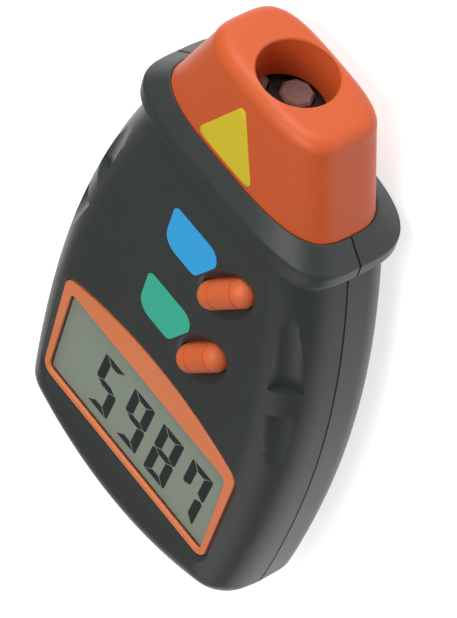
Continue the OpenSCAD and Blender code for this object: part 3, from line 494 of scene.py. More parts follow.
def rounded_ring(centre, size, corner, z):
    """A rectangle with round corners."""
    (x, y), (w, h) = centre, size
    points = []
    for q, (sx, sy) in enumerate(((1, 1), (-1, 1), (-1, -1), (1, -1))):
        spot = (x + sx * (w / 2 - corner), y + sy * (h / 2 - corner))
        points += arc(spot, corner, math.pi / 2 * q, math.pi / 2 * (q + 1), 6)
    return [(x, y, z) for x, y in points]


print("bezel outline:", len(bezel_ring(0, 0)), "points")

# %% [markdown]
# Each button sits in a dish, so that a thumb finds it without looking. A real mould has this dish
# milled with a ball cutter. A loft of slanted ovals gives the same bowl with an eased rim.


# %% Places and cutters of the buttons
BUTTONS = {"mem": ((10.6, -25.2), 16.2), "test": ((10.3, -45.4), 14.2)}
BUTTON_W, BUTTON_GAP, BUTTON_TURN = 5.7, 0.3, math.radians(52)


def turned(centre, x, y, z):
    """A place given along and across a button."""
    c, s = math.cos(BUTTON_TURN), math.sin(BUTTON_TURN)
    return (centre[0] + x * c - y * s, centre[1] + x * s + y * c, z)


def button_ring(centre, length, radius, z):
    """A slot outline: two half circles joined by straight sides."""
    half, quarter = (length - BUTTON_W) / 2, math.pi / 2
    points = arc((half, 0), radius, -quarter, quarter, 24)
    points += arc((-half, 0), radius, quarter, 3 * quarter, 24)
    return [turned(centre, x, y, z) for x, y in points]


DISH_END, DISH_HALF = 1.4, 5.0
DISH_CURVE = ((0.5, 10.27), (0.62, 10.58), (0.74, 10.96), (0.84, 11.32), (0.92, 11.65),
              (0.97, 11.86), (1.0, 11.96), (1.02, 12.0), (1.06, 12.06), (1.2, 12.3))


def dish(centre, length):
    """An oval bowl, deepest under the button, with a slightly eased rim."""
    long_r, short_r = length / 2 + DISH_END, DISH_HALF
    rings = []
    for share, z in DISH_CURVE:
        circle = arc((0, 0), share, 0, 2 * math.pi, 72)[:-1]
        rings.append([turned(centre, long_r * x, short_r * y, z) for x, y in circle])
    return loft("dish", rings)


print("buttons:", ", ".join(BUTTONS))

# %% [markdown]
# Each thumb hollow runs out of the skin at the end away from the other one, which leaves a curved
# edge where the two face each other. One slanted cylinder cuts each. The seat is drawn from the
# nose's own ovals.


# %% Cutters of the thumb hollows and of the nose's seat
GRIPS = (
    ((27.75, -15.8, 13.76), (31.3, -35.2, 11.75)),
    ((31.9, -40.9, 12), (36.8, -58.1, 12.26)),
)
GRIP_R = 5.2
SEAT_Y, GROOVE_Y = (0.5, -5.7), (-3.25, -5.15)


def grips(mirror, grow=0.0):
    """The two thumb hollows of one side, as round channels."""
    made = []
    for ends in GRIPS:
        start, end = (Vector((mirror * x, y, z)) for x, y, z in ends)
        more = (end - start).normalized() * grow
        made.append(rod("channel", start - more, end + more, GRIP_R + grow, 96))
    return made


def nose_seat():
    """The opening that the nose stands in, and the groove that holds its flange."""
    fit = wider(NOSE_BASE, NOSE_FIT)
    wide = wider(fit, FLANGE_OUT)
    return [
        loft("seat", [oval(y, *fit) for y in SEAT_Y]),
        loft("groove", [oval(y, *wide) for y in GROOVE_Y]),
    ]


print("thumb hollows on each side:", len(GRIPS))

# %% Front half of the case
TRAY_OUT, TRAY_Z, OPENING_ROUND, OPENING_Z = 2.2, (8.6, 12.0), 0.8, (8.0, 12.6)
BOSS_R, BOSS_Z, PILOT_R, PILOT_Z, SLOT_Z = 3, (-1, 12), 1.28, (-1, 7), (6.5, 13)
POCKET = ((0.15, 9.6), (0.15, 10.9), (0.35, 11.0), (1.0, 11.42), (1.75, 11.9), (1.95, 11.99),
          (2.3, 12.05), (4.5, 12.3))
SCREW_PLACES = ((21, -13), (-21, -13), (20, -101), (-20, -101))
front = shell_form("front_half", FRONT, groove=SEAM_GROOVE)
combine(front, [collar_half(1)], "UNION")
hollow = shell_form("hollow", FRONT, WALL, HOLLOW_TOP)
combine(hollow, [loft("tray", [bezel_ring(TRAY_OUT, z) for z in TRAY_Z])])
pocket = loft("pocket", [bezel_ring(out, z) for out, z in POCKET])
opening = [rounded_ring((0, WINDOW_Y), WINDOW, OPENING_ROUND, z) for z in OPENING_Z]
cutters = [hollow, *nose_seat(), pocket, loft("opening", opening)]
for centre, length in BUTTONS.values():
    cutters.append(dish(centre, length))
    slot = [button_ring(centre, length, BUTTON_W / 2 + BUTTON_GAP, z) for z in SLOT_Z]
    cutters.append(loft("slot", slot))
for mirror in (1, -1):
    combine(hollow, grips(mirror, WALL))
    cutters += grips(mirror)
for x, y in SCREW_PLACES:
    boss = rod("boss", *((x, y, z) for z in BOSS_Z), BOSS_R, 32)
    combine(hollow, [boss])
    cutters.append(rod("pilot", *((x, y, z) for z in PILOT_Z), PILOT_R, 32))
combine(front, cutters)
shade(front, case_abs)
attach(front, "case")
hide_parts("front_case")

# %% [markdown]
# ## The rear half and its battery door
#
# The rear half is deeper and rounder. Its back opens for the battery: two walls and two end walls
# make the bay, and a groove in each wall carries the door's tongues. The walls are what the hollow
# leaves standing, so they are one piece with the case, as in the mould.

# %% Rear half
DOOR_W, DOOR_TOP, DOOR_END, DOOR_GAP, DOOR_WALL = 14.35, -42.0, -4.85, 0.3, 1.5
BAY_IN, BAY_OUT, BAY_HEAD, BAY_FOOT, BAY_RIM = 14.1, 16.5, -38.5, -96.15, 3.5
END_HALF, HEAD_WALL, FOOT_WALL, FOOT_STEP = 15, 1.5, 1.4, -12.95
RIBS = ((-9.2, -9.1), (-11.9, -6.4))
RIB_HALF, RIB_WALL = 8, 1.3
RAIL_W, RAIL_TOP, RAIL_Z = 15.7, -43.7, (-14.5, -13.1)
LEAD_NOTCH = ((-6, -40.5, -8), (6, -38, 8))
WELL_R, WELL_Z, HEAD_R, HEAD_Z, HOLE_R, HOLE_Z = 4.2, 1, 3, -6, 1.5, (-6.5, 1.5)
LABEL, LABEL_Y, LABEL_ROUND, LABEL_Z = (15.3, 20.3), -24, 1.3, (-17, -15.4)
rear = shell_form("rear_half", REAR, groove=SEAM_GROOVE)
combine(rear, [collar_half(-1)], "UNION")
hollow = shell_form("hollow", REAR, WALL, HOLLOW_TOP)
keep = [
    box("bay_right", (BAY_IN, BAY_FOOT, OUT_BACK), (BAY_OUT, BAY_HEAD, BAY_RIM)),
    box("bay_left", (-BAY_OUT, BAY_FOOT, OUT_BACK), (-BAY_IN, BAY_HEAD, BAY_RIM)),
    box("bay_foot", (-END_HALF, BAY_FOOT, FOOT_STEP), (END_HALF, BAY_FOOT + FOOT_WALL, BAY_RIM)),
    box("bay_head", (-END_HALF, BAY_HEAD - HEAD_WALL, OUT_BACK), (END_HALF, BAY_HEAD, BAY_RIM)),
]
for x, y in SCREW_PLACES:
    keep.append(rod("well", (x, y, OUT_BACK), (x, y, WELL_Z), WELL_R, 48))
for y, top in RIBS:
    keep.append(box("rib", (-RIB_HALF, y, OUT_BACK), (RIB_HALF, y + RIB_WALL, top)))
combine(hollow, keep)
way = DOOR_W + DOOR_GAP
cutters = [
    hollow,
    *nose_seat(),
    box("doorway", (-way, OUT_FOOT, OUT_BACK), (way, DOOR_TOP + DOOR_GAP, DOOR_END + DOOR_GAP)),
    box("rails", (-RAIL_W, OUT_FOOT, RAIL_Z[0]), (RAIL_W, RAIL_TOP, RAIL_Z[1])),
    box("notch", *LEAD_NOTCH),
]
for x, y in SCREW_PLACES:
    cutters.append(rod("well_cut", (x, y, OUT_BACK), (x, y, HEAD_Z), HEAD_R))
    cutters.append(rod("hole", *((x, y, z) for z in HOLE_Z), HOLE_R, 32))
bed = [rounded_ring((0, LABEL_Y), LABEL, LABEL_ROUND, z) for z in LABEL_Z]
cutters.append(loft("label_bed", bed))
combine(rear, cutters)
shade(rear, case_abs)
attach(rear, "case")
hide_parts("rear_case")

# %% [markdown]
# The door is cut from the very same form as the rear half, so its outside carries the case's
# curve on without a step.

# %% The door before its ridges
TONGUE_X, TONGUE_HALF, TONGUE_Y, TONGUE_Z = 14.5, 0.9, (-88, -44), (-14.2, -13.4)
door = shell_form("battery_door_skin", REAR)
combine(door, [shell_form("inside", REAR, DOOR_WALL)])
block = box("block", (-DOOR_W, OUT_FOOT, OUT_BACK), (DOOR_W, DOOR_TOP, DOOR_END))
combine(door, [block], "INTERSECT")
tongues = []
for x in (TONGUE_X, -TONGUE_X):
    low, high = zip((x - TONGUE_HALF, x + TONGUE_HALF), TONGUE_Y, TONGUE_Z)
    tongues.append(box("tongue", low, high))
combine(door, tongues, "UNION")
print("door blank:", len(door.data.polygons), "faces")

# %% [markdown]
# ## Thumb ridges, by Geometry Nodes
#
# The door is pushed off with a thumb, so its upper end has five shallow grooves. They are the
# same cut at even steps, which is what Geometry Nodes are for: one rod, drawn at each point of a
# short line. The tree takes the count, step, length, radius and place as named inputs.


# %% A small helper for node trees on objects
def node_tree(name, sizes):
    """An empty geometry tree with a named number input for each size."""
    tree = bpy.data.node_groups.new(name, "GeometryNodeTree")
    tree.interface.new_socket("Geometry", in_out="INPUT", socket_type="NodeSocketGeometry")
    for size, value in sizes.items():
        kind = "NodeSocketInt" if isinstance(value, int) else "NodeSocketFloat"
        tree.interface.new_socket(size, in_out="INPUT", socket_type=kind).default_value = value
    tree.interface.new_socket("Geometry", in_out="OUTPUT", socket_type="NodeSocketGeometry")
    return tree, put(tree, "NodeGroupInput").outputs


def grown(tree, obj, last, material, sizes):
    """Ends the tree, runs it on the object with the given sizes, and returns the mesh."""
    real = put(tree, "GeometryNodeRealizeInstances", {"Geometry": last})
    dressed = put(tree, "GeometryNodeSetMaterial", {"Geometry": real, "Material": material})
    put(tree, "NodeGroupOutput", {"Geometry": dressed})
    run = obj.modifiers.new("grow", "NODES")
    run.node_group = tree
    for item in tree.interface.items_tree:
        if item.item_type == "SOCKET" and item.in_out == "INPUT" and item.name in sizes:
            run[item.identifier] = sizes[item.name]
    mesh = plain_mesh(obj)
    bpy.data.objects.remove(obj)
    return mesh


def grow(name, points, tree, last, material, sizes, flips=()):
    """A plain mesh object that the tree draws on points, which may keep a mirroring each."""
    mesh = bpy.data.meshes.new(name)
    mesh.from_pydata([place(*p) for p in points], [], [])
    if flips:
        mark = mesh.attributes.new("flip", "FLOAT_VECTOR", "POINT")
        mark.data.foreach_set("vector", [v for flip in flips for v in flip])
    seed = show(name, mesh)
    return show(name, grown(tree, seed, last, material, sizes))


def times(tree, socket, number):
    """A number or a socket's number, multiplied."""
    return put(tree, "ShaderNodeMath", {0: socket, 1: number}, operation="MULTIPLY")


def vector(tree, **parts):
    """A vector from its X, Y and Z."""
    return put(tree, "ShaderNodeCombineXYZ", parts)


# %% Cut the ridges in the door
sizes = {
    "Count": 5,
    "Step": 0.0026,
    "Length": 0.016,
    "Radius": 0.0007,
    "Start": place(0, -48, 0)[1],
    "Height": place(0, 0, -15.95)[2],
}
tree, size = node_tree("thumb grooves", sizes)
start = vector(tree, Y=size["Start"], Z=size["Height"])
step = vector(tree, Y=times(tree, size["Step"], -1.0))
line = {"Count": size["Count"], "Start Location": start, "Offset": step}
line = put(tree, "GeometryNodeMeshLine", line)
groove = {"Vertices": 32, "Radius": size["Radius"], "Depth": size["Length"]}
groove = put(tree, "GeometryNodeMeshCylinder", groove)
copies = {"Points": line, "Instance": groove, "Rotation": (0, math.pi / 2, 0)}
drawn = put(tree, "GeometryNodeInstanceOnPoints", copies)
ridges = grow("ridges", [(0, 0, 0)], tree, drawn, case_abs, sizes)
combine(door, [ridges])
shade(door, case_abs)
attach(door, "battery_door")
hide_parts("battery_door")

# %% [markdown]
# ## The nose
#
# The nose is one loft from its wide base to its tip, with the tip's edge rounded over. The light
# port is a straight bore ten millimetres deep; behind it the nose opens out over the optics
# block. A flange at the foot locks the nose in the collar when the two halves close round it.

# %% Nose
NOSE_SKIN, BORE_Z, TUBE_R, TUBE_Y = 1.8, -0.2, 9.5, (10.6, 30)
SKIRT_Y, FLANGE_Y = (0.3, -5), (-3.4, -5)
BORE = ((9.0, 7.7), (20.15, 7.7), (20.42, 7.8), (20.6, 8.02), (20.9, 8.5))
straight = NOSE_L - NOSE_ROUND
rings = [oval(straight * i / 8, *between(NOSE_BASE, NOSE_TIP, i / 8)) for i in range(9)]
for y, out in arc((0, -NOSE_ROUND), NOSE_ROUND, math.pi / 2, 0, 10)[1:]:
    rings.append(oval(straight + y, *wider(NOSE_TIP, out)))
rings.append(oval(NOSE_L, *wider(NOSE_TIP, -NOSE_ROUND - OVERRUN)))
nose = loft("nose", rings)
skirt = loft("skirt", [oval(y, *NOSE_BASE) for y in SKIRT_Y])
flange = loft("flange", [oval(y, *wider(NOSE_BASE, FLANGE_OUT)) for y in FLANGE_Y])
combine(nose, [skirt, flange], "UNION")
inner, inner_tip = wider(NOSE_BASE, -NOSE_SKIN), wider(NOSE_TIP, -NOSE_SKIN)
hollow = loft("hollow", [oval(-6, *inner), oval(0, *inner), oval(straight, *inner_tip)])
tube = rod("tube", *((0, y, BORE_Z) for y in TUBE_Y), TUBE_R, 96)
combine(hollow, [tube])
bore = []
for y, radius in BORE:
    circle = arc((0, BORE_Z), radius, 0, 2 * math.pi, 120)[:-1]
    bore.append([(x, y, z) for x, z in circle])
combine(nose, [hollow, loft("bore", bore)])
shade(nose, nose_abs)
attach(nose, "case")
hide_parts("nose_hood")

# %% [markdown]
# ## The display
#
# The bezel is a flat frame with softly rounded edges. The clear window lies in a recess behind
# it, and the liquid crystal cell close behind the window.

# %% Bezel
RIM = ((0, 9.6), (0, 11.0), (-0.05, 11.14), (-0.16, 11.25), (-0.32, 11.3))
HOLE = ((0.0, 9.0), (0.0, 11.12), (0.06, 11.22), (0.2, 11.3), (0.7, 11.6))
HOLE_ROUND, REBATE = 1.5, ((-25.3, -92.0, 9), (25.3, -66.7, 10.72))
bezel = loft("display_frame", [bezel_ring(out, z) for out, z in RIM])
hole = []
for out, z in HOLE:
    opening = [side + 2 * out for side in WINDOW]
    hole.append(rounded_ring((0, WINDOW_Y), opening, HOLE_ROUND + out, z))
combine(bezel, [box("rebate", *REBATE), loft("hole", hole)])
shade(bezel, bezel_abs)
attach(bezel, "case")
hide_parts("display_bezel")

# %% [markdown]
# Each digit is drawn from seven bars, of three kinds: end, side and middle. For each kind a tree
# copies one flat prism to the points of the bars that are switched on, mirrored by what each
# point keeps, and leans the number over.

# %% Digits
DIGIT_W, DIGIT_H, DIGIT_STEP, LEAN, INK = 6.5, 15.8, 9.26, 1.4, 0.03
SIDE, LEVEL, GAP = 2.35, 1.75, 0.22
w, h = DIGIT_W / 2, DIGIT_H / 2
near, far, thick = -w + SIDE - GAP, w - SIDE + 0.15, LEVEL / 2
BARS = {
    "end": [(-w + 0.7, h), (w - 0.55, h), (w - SIDE, h - LEVEL), (-w + SIDE, h - LEVEL)],
    "side": [(-w, 0.8), (-w, h - 0.55), (-w + 0.12, h - 0.2), (-w + 0.42, h),
             (near, h - LEVEL - 0.12), (near, thick + GAP), (-w + 0.7, GAP - 0.05),
             (-w + 0.2, 0.3)],
    "middle": [(-w + 0.8, 0), (-far, thick), (far, thick), (w - 0.8, 0), (far, -thick),
               (-far, -thick)],
}
FLIPS = {
    "a": ("end", 1, 1), "d": ("end", -1, -1), "g": ("middle", 1, 1),
    "f": ("side", 1, 1), "b": ("side", -1, 1), "e": ("side", 1, -1), "c": ("side", -1, -1),
}
LIT = {"5": "afgcd", "9": "abcdfg", "8": "abcdefg", "7": "abcf"}


def bar_tree(sizes, pattern):
    """Copies one bar to every point, mirrored as the point says, and leans the number over."""
    tree, size = node_tree("digit bars", sizes)
    points = put(tree, "NodeGroupInput")
    bar = put(tree, "GeometryNodeObjectInfo", {"Object": pattern}).outputs["Geometry"]
    flip = put(tree, "GeometryNodeInputNamedAttribute", {"Name": "flip"}, data_type="FLOAT_VECTOR")
    copies = {"Points": points, "Instance": bar, "Scale": flip.outputs["Attribute"]}
    drawn = put(tree, "GeometryNodeInstanceOnPoints", copies)
    real = put(tree, "GeometryNodeRealizeInstances", {"Geometry": drawn})
    spot = put(tree, "GeometryNodeInputPosition")
    high = put(tree, "ShaderNodeSeparateXYZ", {0: spot}).outputs["Y"]
    rise = put(tree, "ShaderNodeMath", {0: high, 1: size["Middle"]}, operation="SUBTRACT")
    shift = vector(tree, X=times(tree, rise, size["Lean"]))
    leant = put(tree, "GeometryNodeSetPosition", {"Geometry": real, "Offset": shift})
    return tree, leant


NUMBER, NUMBER_END, NUMBER_Y, LCD_TOP = "5987", 20.95, -80.85, 9.52
for kind, outline in BARS.items():
    pattern = loft(kind, [[(x, y - COLLAR_Y, z - SEAM_Z) for x, y in outline] for z in (0, INK)])
    spots, flips = [], []
    for n, sign in enumerate(reversed(NUMBER)):
        for bar in LIT[sign]:
            if FLIPS[bar][0] == kind:
                spots.append((NUMBER_END - w - n * DIGIT_STEP, NUMBER_Y, LCD_TOP))
                flips.append((*FLIPS[bar][1:], 1))
    sizes = {"Lean": LEAN / DIGIT_H, "Middle": place(0, NUMBER_Y, 0)[1]}
    tree, drawn = bar_tree(sizes, pattern)
    bars = grow(f"digit_{kind}_bars", spots, tree, drawn, display_ink, sizes, flips)
    bpy.data.objects.remove(pattern)
    shade(bars, display_ink)
    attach(bars, "case")
    print(kind, "bars:", len(spots))

# %% [markdown]
# ## The buttons
#
# Both buttons are long rods lying across the face at a slant, with round ends and two shallow
# ring grooves that catch the thumb. Below the skin each has a wider foot that keeps it in.

# %% Buttons
BUTTON_AXIS, BUTTON_FLOOR, KEEPER_H, KEEPER_OUT = 11.45, 8.6, 0.8, 0.9
RING_PLACES, RING_HALF, RING_DEPTH = (-0.36, 0.58), 0.22, 0.24
radius = BUTTON_W / 2
dome = arc((0, BUTTON_AXIS), radius, 0, math.pi / 2, 16)
for name, (centre, length) in BUTTONS.items():
    levels = [(radius, z) for z in (BUTTON_FLOOR, 9.2, 9.8, 10.4, 10.95)]
    levels += [(max(r, 0.02), z) for r, z in dome]
    cap = loft(f"{name}_cap", [button_ring(centre, length, r, z) for r, z in levels])
    for share in RING_PLACES:
        at = share * length / 2
        ends = [turned(centre, at + off, 0, BUTTON_AXIS) for off in (-RING_HALF, RING_HALF)]
        ring_cut = rod("ring", *ends, radius + 1, 96)
        ends = [turned(centre, at + 3 * off, 0, BUTTON_AXIS) for off in (-RING_HALF, RING_HALF)]
        combine(ring_cut, [rod("core", *ends, radius - RING_DEPTH, 96)])
        combine(cap, [ring_cut])
    levels = (BUTTON_FLOOR, BUTTON_FLOOR + KEEPER_H)
    keeper = [button_ring(centre, length, radius + KEEPER_OUT, z) for z in levels]
    combine(cap, [loft("keeper", keeper)], "UNION")
    shade(cap, button_silicone, 40)
    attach(cap, f"{name}_button")
    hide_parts(f"{name}_button")

# %% [markdown]
# ## Badges and sticker
#
# Beside each button is a bare film badge with one corner cut away. Both are the same outline,
# rounded by another radius at each corner.


# %% Badges
BADGE = [((0, 0), 1.5), ((13.3, 0), 2.7), ((13.3, -3.4), 2.2), ((9.4, -10.6), 2.0),
         ((0, -10.6), 3.4)]
FILM_Z = (11.95, 12.12)


def round_corner(at, before, after, radius):
    """Points round a corner, from the side towards the point before it to the one after."""
    back, ahead = (before - at).normalized(), (after - at).normalized()
    half = back.angle(ahead) / 2
    centre = at + (back + ahead).normalized() * (radius / math.sin(half))
    first = math.atan2(*(at + back * (radius / math.tan(half)) - centre).yx)
    sweep = math.copysign(math.pi - 2 * half, ahead.cross(back))
    return arc(centre, radius, first, first + sweep, 8)


spots = [Vector(spot) for spot, _ in BADGE]
outline = []
for i, (_, radius) in enumerate(BADGE):
    outline += round_corner(spots[i], spots[i - 1], spots[(i + 1) % len(spots)], radius)
for name, (x, y), film, node, slot in (
    ("blue_badge", (-6.9, -18.5), blue_film, "mem_badge", "blue_label"),
    ("green_badge", (-7.8, -39.4), green_film, "test_badge", "green_label"),
):
    badge = loft(name, [[(x + a, y + b, z) for a, b in outline] for z in FILM_Z])
    shade(badge, film)
    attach(badge, "case")
    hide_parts(node)


# %% [markdown]
# A plain yellow triangle lies on the bulging front of the nose. Each of its points is laid on the
# nose's own surface, so the film follows the curve.


# %% Nose sticker
def nose_front(x, y):
    """Height of the nose's front surface at a place."""
    half_w, front, _, power = between(NOSE_BASE, NOSE_TIP, y / (NOSE_L - NOSE_ROUND))
    return front * (1 - abs(x / half_w) ** power) ** (1 / power)


STICKER_ROUND, STICKER_LIFT, STICKER_SINK = 1.1, 0.13, -0.05
corners = [Vector((-9.2, 0.9)), Vector((7.2, 0.9)), Vector((-1.0, 15.9))]
middle = sum(corners, Vector((0, 0))) / 3
edge = []
for i, corner in enumerate(corners):
    after = corners[(i + 1) % 3]
    edge += [Vector(p) for p in round_corner(corner, corners[i - 1], after, STICKER_ROUND)]
    last = edge[-1]
    edge += [last + (after + corner - 2 * last) * k / 10 for k in range(1, 10)]
levels = [(k / 6, STICKER_LIFT) for k in (0.2, 1, 2, 3, 4, 5, 5.95)] + [(1, 0.1)]
levels += [(k / 6, STICKER_SINK) for k in (6, 4, 2, 0.2)]
rings = []
for share, lift in levels:
    spots = [middle + (p - middle) * share for p in edge]
    rings.append([(p.x, p.y, nose_front(p.x, p.y) + lift) for p in spots])
sticker = loft("plain_sticker", rings)
shade(sticker, yellow_film, 50)
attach(sticker, "case")
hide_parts("nose_sticker")

# %% [markdown]
# ## Screws
#
# Two sizes of cross-head screws hold the meter together. One tree builds a head, a shank and a tip
# from cones and a cylinder, cuts the cross with two thin blocks, and copies the screw to its
# places.


# %% Screws
HEAD_EASE, CROSS_SPAN, POINT = 0.86, 1.3, 0.25


def raised(tree, geometry, height):
    """The geometry moved along Z."""
    lift = {"Geometry": geometry, "Translation": vector(tree, Z=height)}
    return put(tree, "GeometryNodeTransform", lift)


def screw_tree(sizes):
    """A cross-head screw, drawn on each point."""
    tree, size = node_tree("pan head screw", sizes)
    wide, thin = size["Head Radius"], size["Shank Radius"]
    down = times(tree, size["Head Height"], -1.0)
    head = {"Vertices": 48, "Radius Top": wide, "Radius Bottom": times(tree, wide, HEAD_EASE)}
    head = put(tree, "GeometryNodeMeshCone", {**head, "Depth": size["Head Height"]})
    head = raised(tree, head, down)
    depth = times(tree, size["Slot Depth"], 2.0)
    blade = vector(tree, X=times(tree, wide, CROSS_SPAN), Y=size["Slot Width"], Z=depth)
    blade = put(tree, "GeometryNodeMeshCube", {"Size": blade})
    quarter = {"Geometry": blade, "Rotation": (0, 0, math.pi / 2)}
    across = put(tree, "GeometryNodeTransform", quarter)
    how = {"operation": "DIFFERENCE", "solver": "MANIFOLD"}
    for block in (blade, across):
        both = {"Mesh 1": head, "Mesh 2": raised(tree, block, down)}
        head = put(tree, "GeometryNodeMeshBoolean", both, **how)
    shank = {"Vertices": 32, "Radius": thin, "Depth": size["Length"]}
    shank = put(tree, "GeometryNodeMeshCylinder", shank)
    shank = raised(tree, shank, times(tree, size["Length"], 0.5))
    tip = {"Vertices": 32, "Radius Top": times(tree, thin, POINT), "Radius Bottom": thin}
    tip = put(tree, "GeometryNodeMeshCone", {**tip, "Depth": thin})
    tip = raised(tree, tip, size["Length"])
    whole = put(tree, "GeometryNodeJoinGeometry")
    for part in (head, shank, tip):
        tree.links.new(part.outputs[0], whole.inputs[0])
    points = put(tree, "NodeGroupInput")
    spin = vector(tree, X=size["Turn"])
    copies = {"Points": points, "Instance": whole, "Rotation": spin}
    return tree, put(tree, "GeometryNodeInstanceOnPoints", copies)


case_places = [(x, y, HEAD_Z) for x, y in SCREW_PLACES]
board_places = [(20.5, -43.5, 4.0), (-18, -22, 4.0), (25.2, -61.6, 4.0), (-25.2, -61.6, 4.0)]
sensor_places = [(12.6, -10.5, 0.0), (-12.6, -10.5, 0.0)]
slot_sizes = {"Slot Width": 0.0007, "Slot Depth": 0.0008}
board_sizes = {"Head Radius": 0.0019, "Head Height": 0.0011, "Shank Radius": 0.0009,
               "Length": 0.004, **slot_sizes}
case_sizes = {"Head Radius": 0.0027, "Head Height": 0.0018, "Shank Radius": 0.0012,
              "Length": 0.0113, **slot_sizes}
for name, spots, sizes, angle, node in (
    ("case_screw_set", case_places, case_sizes, 0.0, "case_screws"),
    ("board_screw_set", board_places, board_sizes, 0.0, "board_screws"),
    ("sensor_screw_set", sensor_places, board_sizes, -math.pi / 2, "board_screws"),
):
    sizes = {**sizes, "Turn": angle}
    tree, drawn = screw_tree(sizes)
    screws = grow(name, spots, tree, drawn, zinc, sizes)
    shade(screws, zinc)
    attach(screws, "case")
    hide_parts(node)

# %% [markdown]
# ## Battery leads and foam
#
# Each lead runs from the battery snap up over the bay's end wall to the board. The tree draws a
# round sleeve along the curve. A small foam pad stops the battery from rattling.


# %% Leads and foam
def lead_tree(sizes):
    """A round sleeve along the curve that the tree is given."""
    tree, size = node_tree("insulated lead", sizes)
    route = put(tree, "NodeGroupInput")
    path = {"Curve": route, "Count": size["Points"]}
    path = put(tree, "GeometryNodeResampleCurve", path)
    ring = {"Resolution": 24, "Radius": size["Radius"]}
    ring = put(tree, "GeometryNodeCurvePrimitiveCircle", ring)
    sleeve = {"Curve": path, "Profile Curve": ring, "Fill Caps": True}
    return tree, put(tree, "GeometryNodeCurveToMesh", sleeve)


route = [(3.0, -41.4, -5.2), (3.0, -39.6, -5.0), (3.4, -37.6, -3.6), (4.0, -36.0, -1.4),
         (4.6, -34.8, 0.8), (5.2, -33.6, 3.0)]
for side, name, sleeve, node, slot in (
    (1, "red_lead", red_sleeve, "lead_red", "red_insulation"),
    (-1, "black_lead", black_sleeve, "lead_black", "black_insulation"),
):
    curve = bpy.data.curves.new(name, "CURVE")
    curve.dimensions = "3D"
    line = curve.splines.new("BEZIER")
    line.bezier_points.add(len(route) - 1)
    for point, (x, y, z) in zip(line.bezier_points, route):
        point.co = place(side * x, y, z)
        point.handle_left_type = point.handle_right_type = "AUTO"
    drawing = show(name, curve)
    sizes = {"Points": 40, "Radius": 0.00065}
    tree, drawn = lead_tree(sizes)
    lead = show(name, grown(tree, drawing, drawn, sleeve, sizes))
    shade(lead, sleeve, 60)
    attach(lead, "case")
    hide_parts(node)

PAD_Y, PAD_W, PAD_THICK, PAD_ROUND = -93.65, 22, 1.7, 0.35
PAD = ((0.35, -11.9), (0.1, -11.8), (0, -11.55), (0, 1.75), (0.1, 2.0), (0.35, 2.1))
rings = []
for less, z in PAD:
    size = (PAD_W - 2 * less, PAD_THICK - 2 * less)
    rings.append(rounded_ring((0, PAD_Y), size, PAD_ROUND, z))
pad = loft("foam_pad", rings)
shade(pad, foam, 60)
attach(pad, "case")
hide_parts("battery_foam")

# %% [markdown]
# ## Finishes of the parts inside
#
# The remaining pieces are the model's own solids: boards, chips, lenses, switches and the
# battery. They only need their finishes, which go into each solid's material slots.

# %% Dress the solids
clear_epoxy = finish("clear infrared epoxy", "#2A1A22", 0.08, drift=0.05, **{"Coat Weight": 0.5})
dress = {
    window_acrylic: "display_window",
    display_film: "lcd_front_glass lcd_rear_glass",
    black_abs: "lcd_holder optics_block",
    zebra_silicone: "zebra_strips",
    solder_mask: "main_board sensor_board",
    chip_epoxy: "controller_chip driver_chip chip_resistors",
    nickel: "crystal snap_contacts battery_terminals",
    capacitor_sleeve: "capacitors",
    switch_nylon: "mem_plunger test_plunger",
    battery_card: "mem_switch test_switch pin_header battery_cap",
    lens_acrylic: "receiver_lens emitter_lens",
    brass: "laser_barrel",
    gold: "laser_diode",
    clear_epoxy: "photodiode",
    battery_wrap: "battery_can",
    vinyl: "snap_connector",
    silver_film: "back_label",
}
for material, names in dress.items():
    for name in names.split():
        node = bpy.data.objects[name]
        for seat in node.material_slots:
            seat.material = material
print("dressed:", sum(len(names.split()) for names in dress.values()), "solids")

# %% [markdown]
# ## Floor and light
#
# The meter floats over a plain white ground in the photograph, lit from all round. A large floor,
# a white surround and three wide soft lamps give the same. What the camera, the gloss and the
# clear plastics see of the floor is white, and its shadow stays.

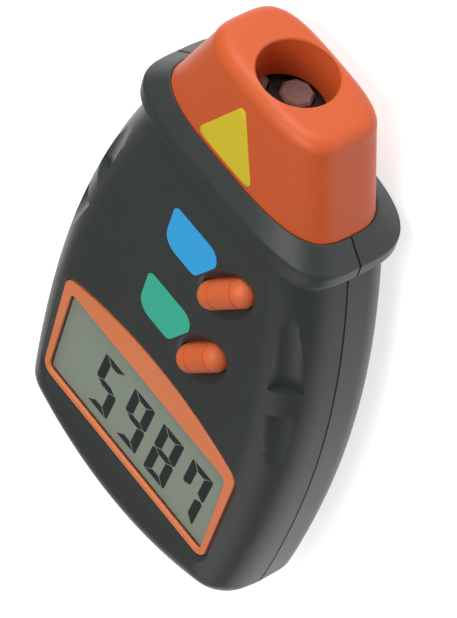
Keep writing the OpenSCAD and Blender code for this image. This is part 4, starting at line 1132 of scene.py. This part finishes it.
# %% Floor
FLOOR_Z, FLOOR_THICK, FLOOR_HALF, FLOOR_GLOW = -15.75, 5, 3000, 0.72
low = (-FLOOR_HALF, -FLOOR_HALF, FLOOR_Z - FLOOR_THICK)
floor = box("floor", low, (FLOOR_HALF, FLOOR_HALF, FLOOR_Z))
paper = bpy.data.materials.new("white paper sweep")
tree = fresh_tree(paper)
ray = put(tree, "ShaderNodeLightPath").outputs
seen = highest(tree, ray["Is Camera Ray"], ray["Is Transmission Ray"], ray["Is Glossy Ray"])
glow = times(tree, seen, FLOOR_GLOW)
paint = put(tree, "ShaderNodeBsdfDiffuse", {"Color": linear("#F4F4F4")})
light = put(tree, "ShaderNodeEmission", {"Color": linear("#FFFFFF"), "Strength": glow})
both = put(tree, "ShaderNodeAddShader", {0: paint, 1: light})
put(tree, "ShaderNodeOutputMaterial", {"Surface": both})
floor.data.materials.append(paper)
print("floor:", paper.name, "at", FLOOR_Z, "mm")

# %% [markdown]
# The surround lights softly from everywhere, and what is seen of it straight or through the clear
# plastics is plain white. The lamps are wide squares, so that their shadows have no hard edge.

# %% Surround
SOFT_GLOW, SEEN_GLOW = 0.21, 1.0
world = bpy.data.worlds.new("studio")
bpy.context.scene.world = world
tree = fresh_tree(world)
ray = put(tree, "ShaderNodeLightPath").outputs
seen = highest(tree, ray["Is Camera Ray"], ray["Is Transmission Ray"])
white = linear("#FFFFFF")
soft = put(tree, "ShaderNodeBackground", {"Color": white, "Strength": SOFT_GLOW})
plain = put(tree, "ShaderNodeBackground", {"Color": white, "Strength": SEEN_GLOW})
choice = put(tree, "ShaderNodeMixShader", {0: seen, 1: soft, 2: plain})
put(tree, "ShaderNodeOutputWorld", {"Surface": choice})
print("surround:", world.name)

# %% Lamps
LAMP_SIZE, LAMP_AIM = 0.42, Vector(place(0, -50, 0))
for name, spot, watts in (
    ("nose_softbox", (-200, 605, 150), 2.4),
    ("overhead_softbox", (60, 330, 620), 2.35),
    ("foot_softbox", (170, -640, 380), 0.55),
):
    light = bpy.data.lights.new(name, "AREA")
    light.size = LAMP_SIZE
    light.energy = watts
    lamp = show(name, light)
    lamp.location = place(*spot)
    lamp.rotation_euler = (LAMP_AIM - lamp.location).to_track_quat("-Z", "Y").to_euler()

# %% [markdown]
# ## The colour view
#
# The dressed meter stays inside the model's own box but for the grip of a film or a rounded edge.

# %% Colour view
bpy.context.scene.view_settings.view_transform = "Standard"
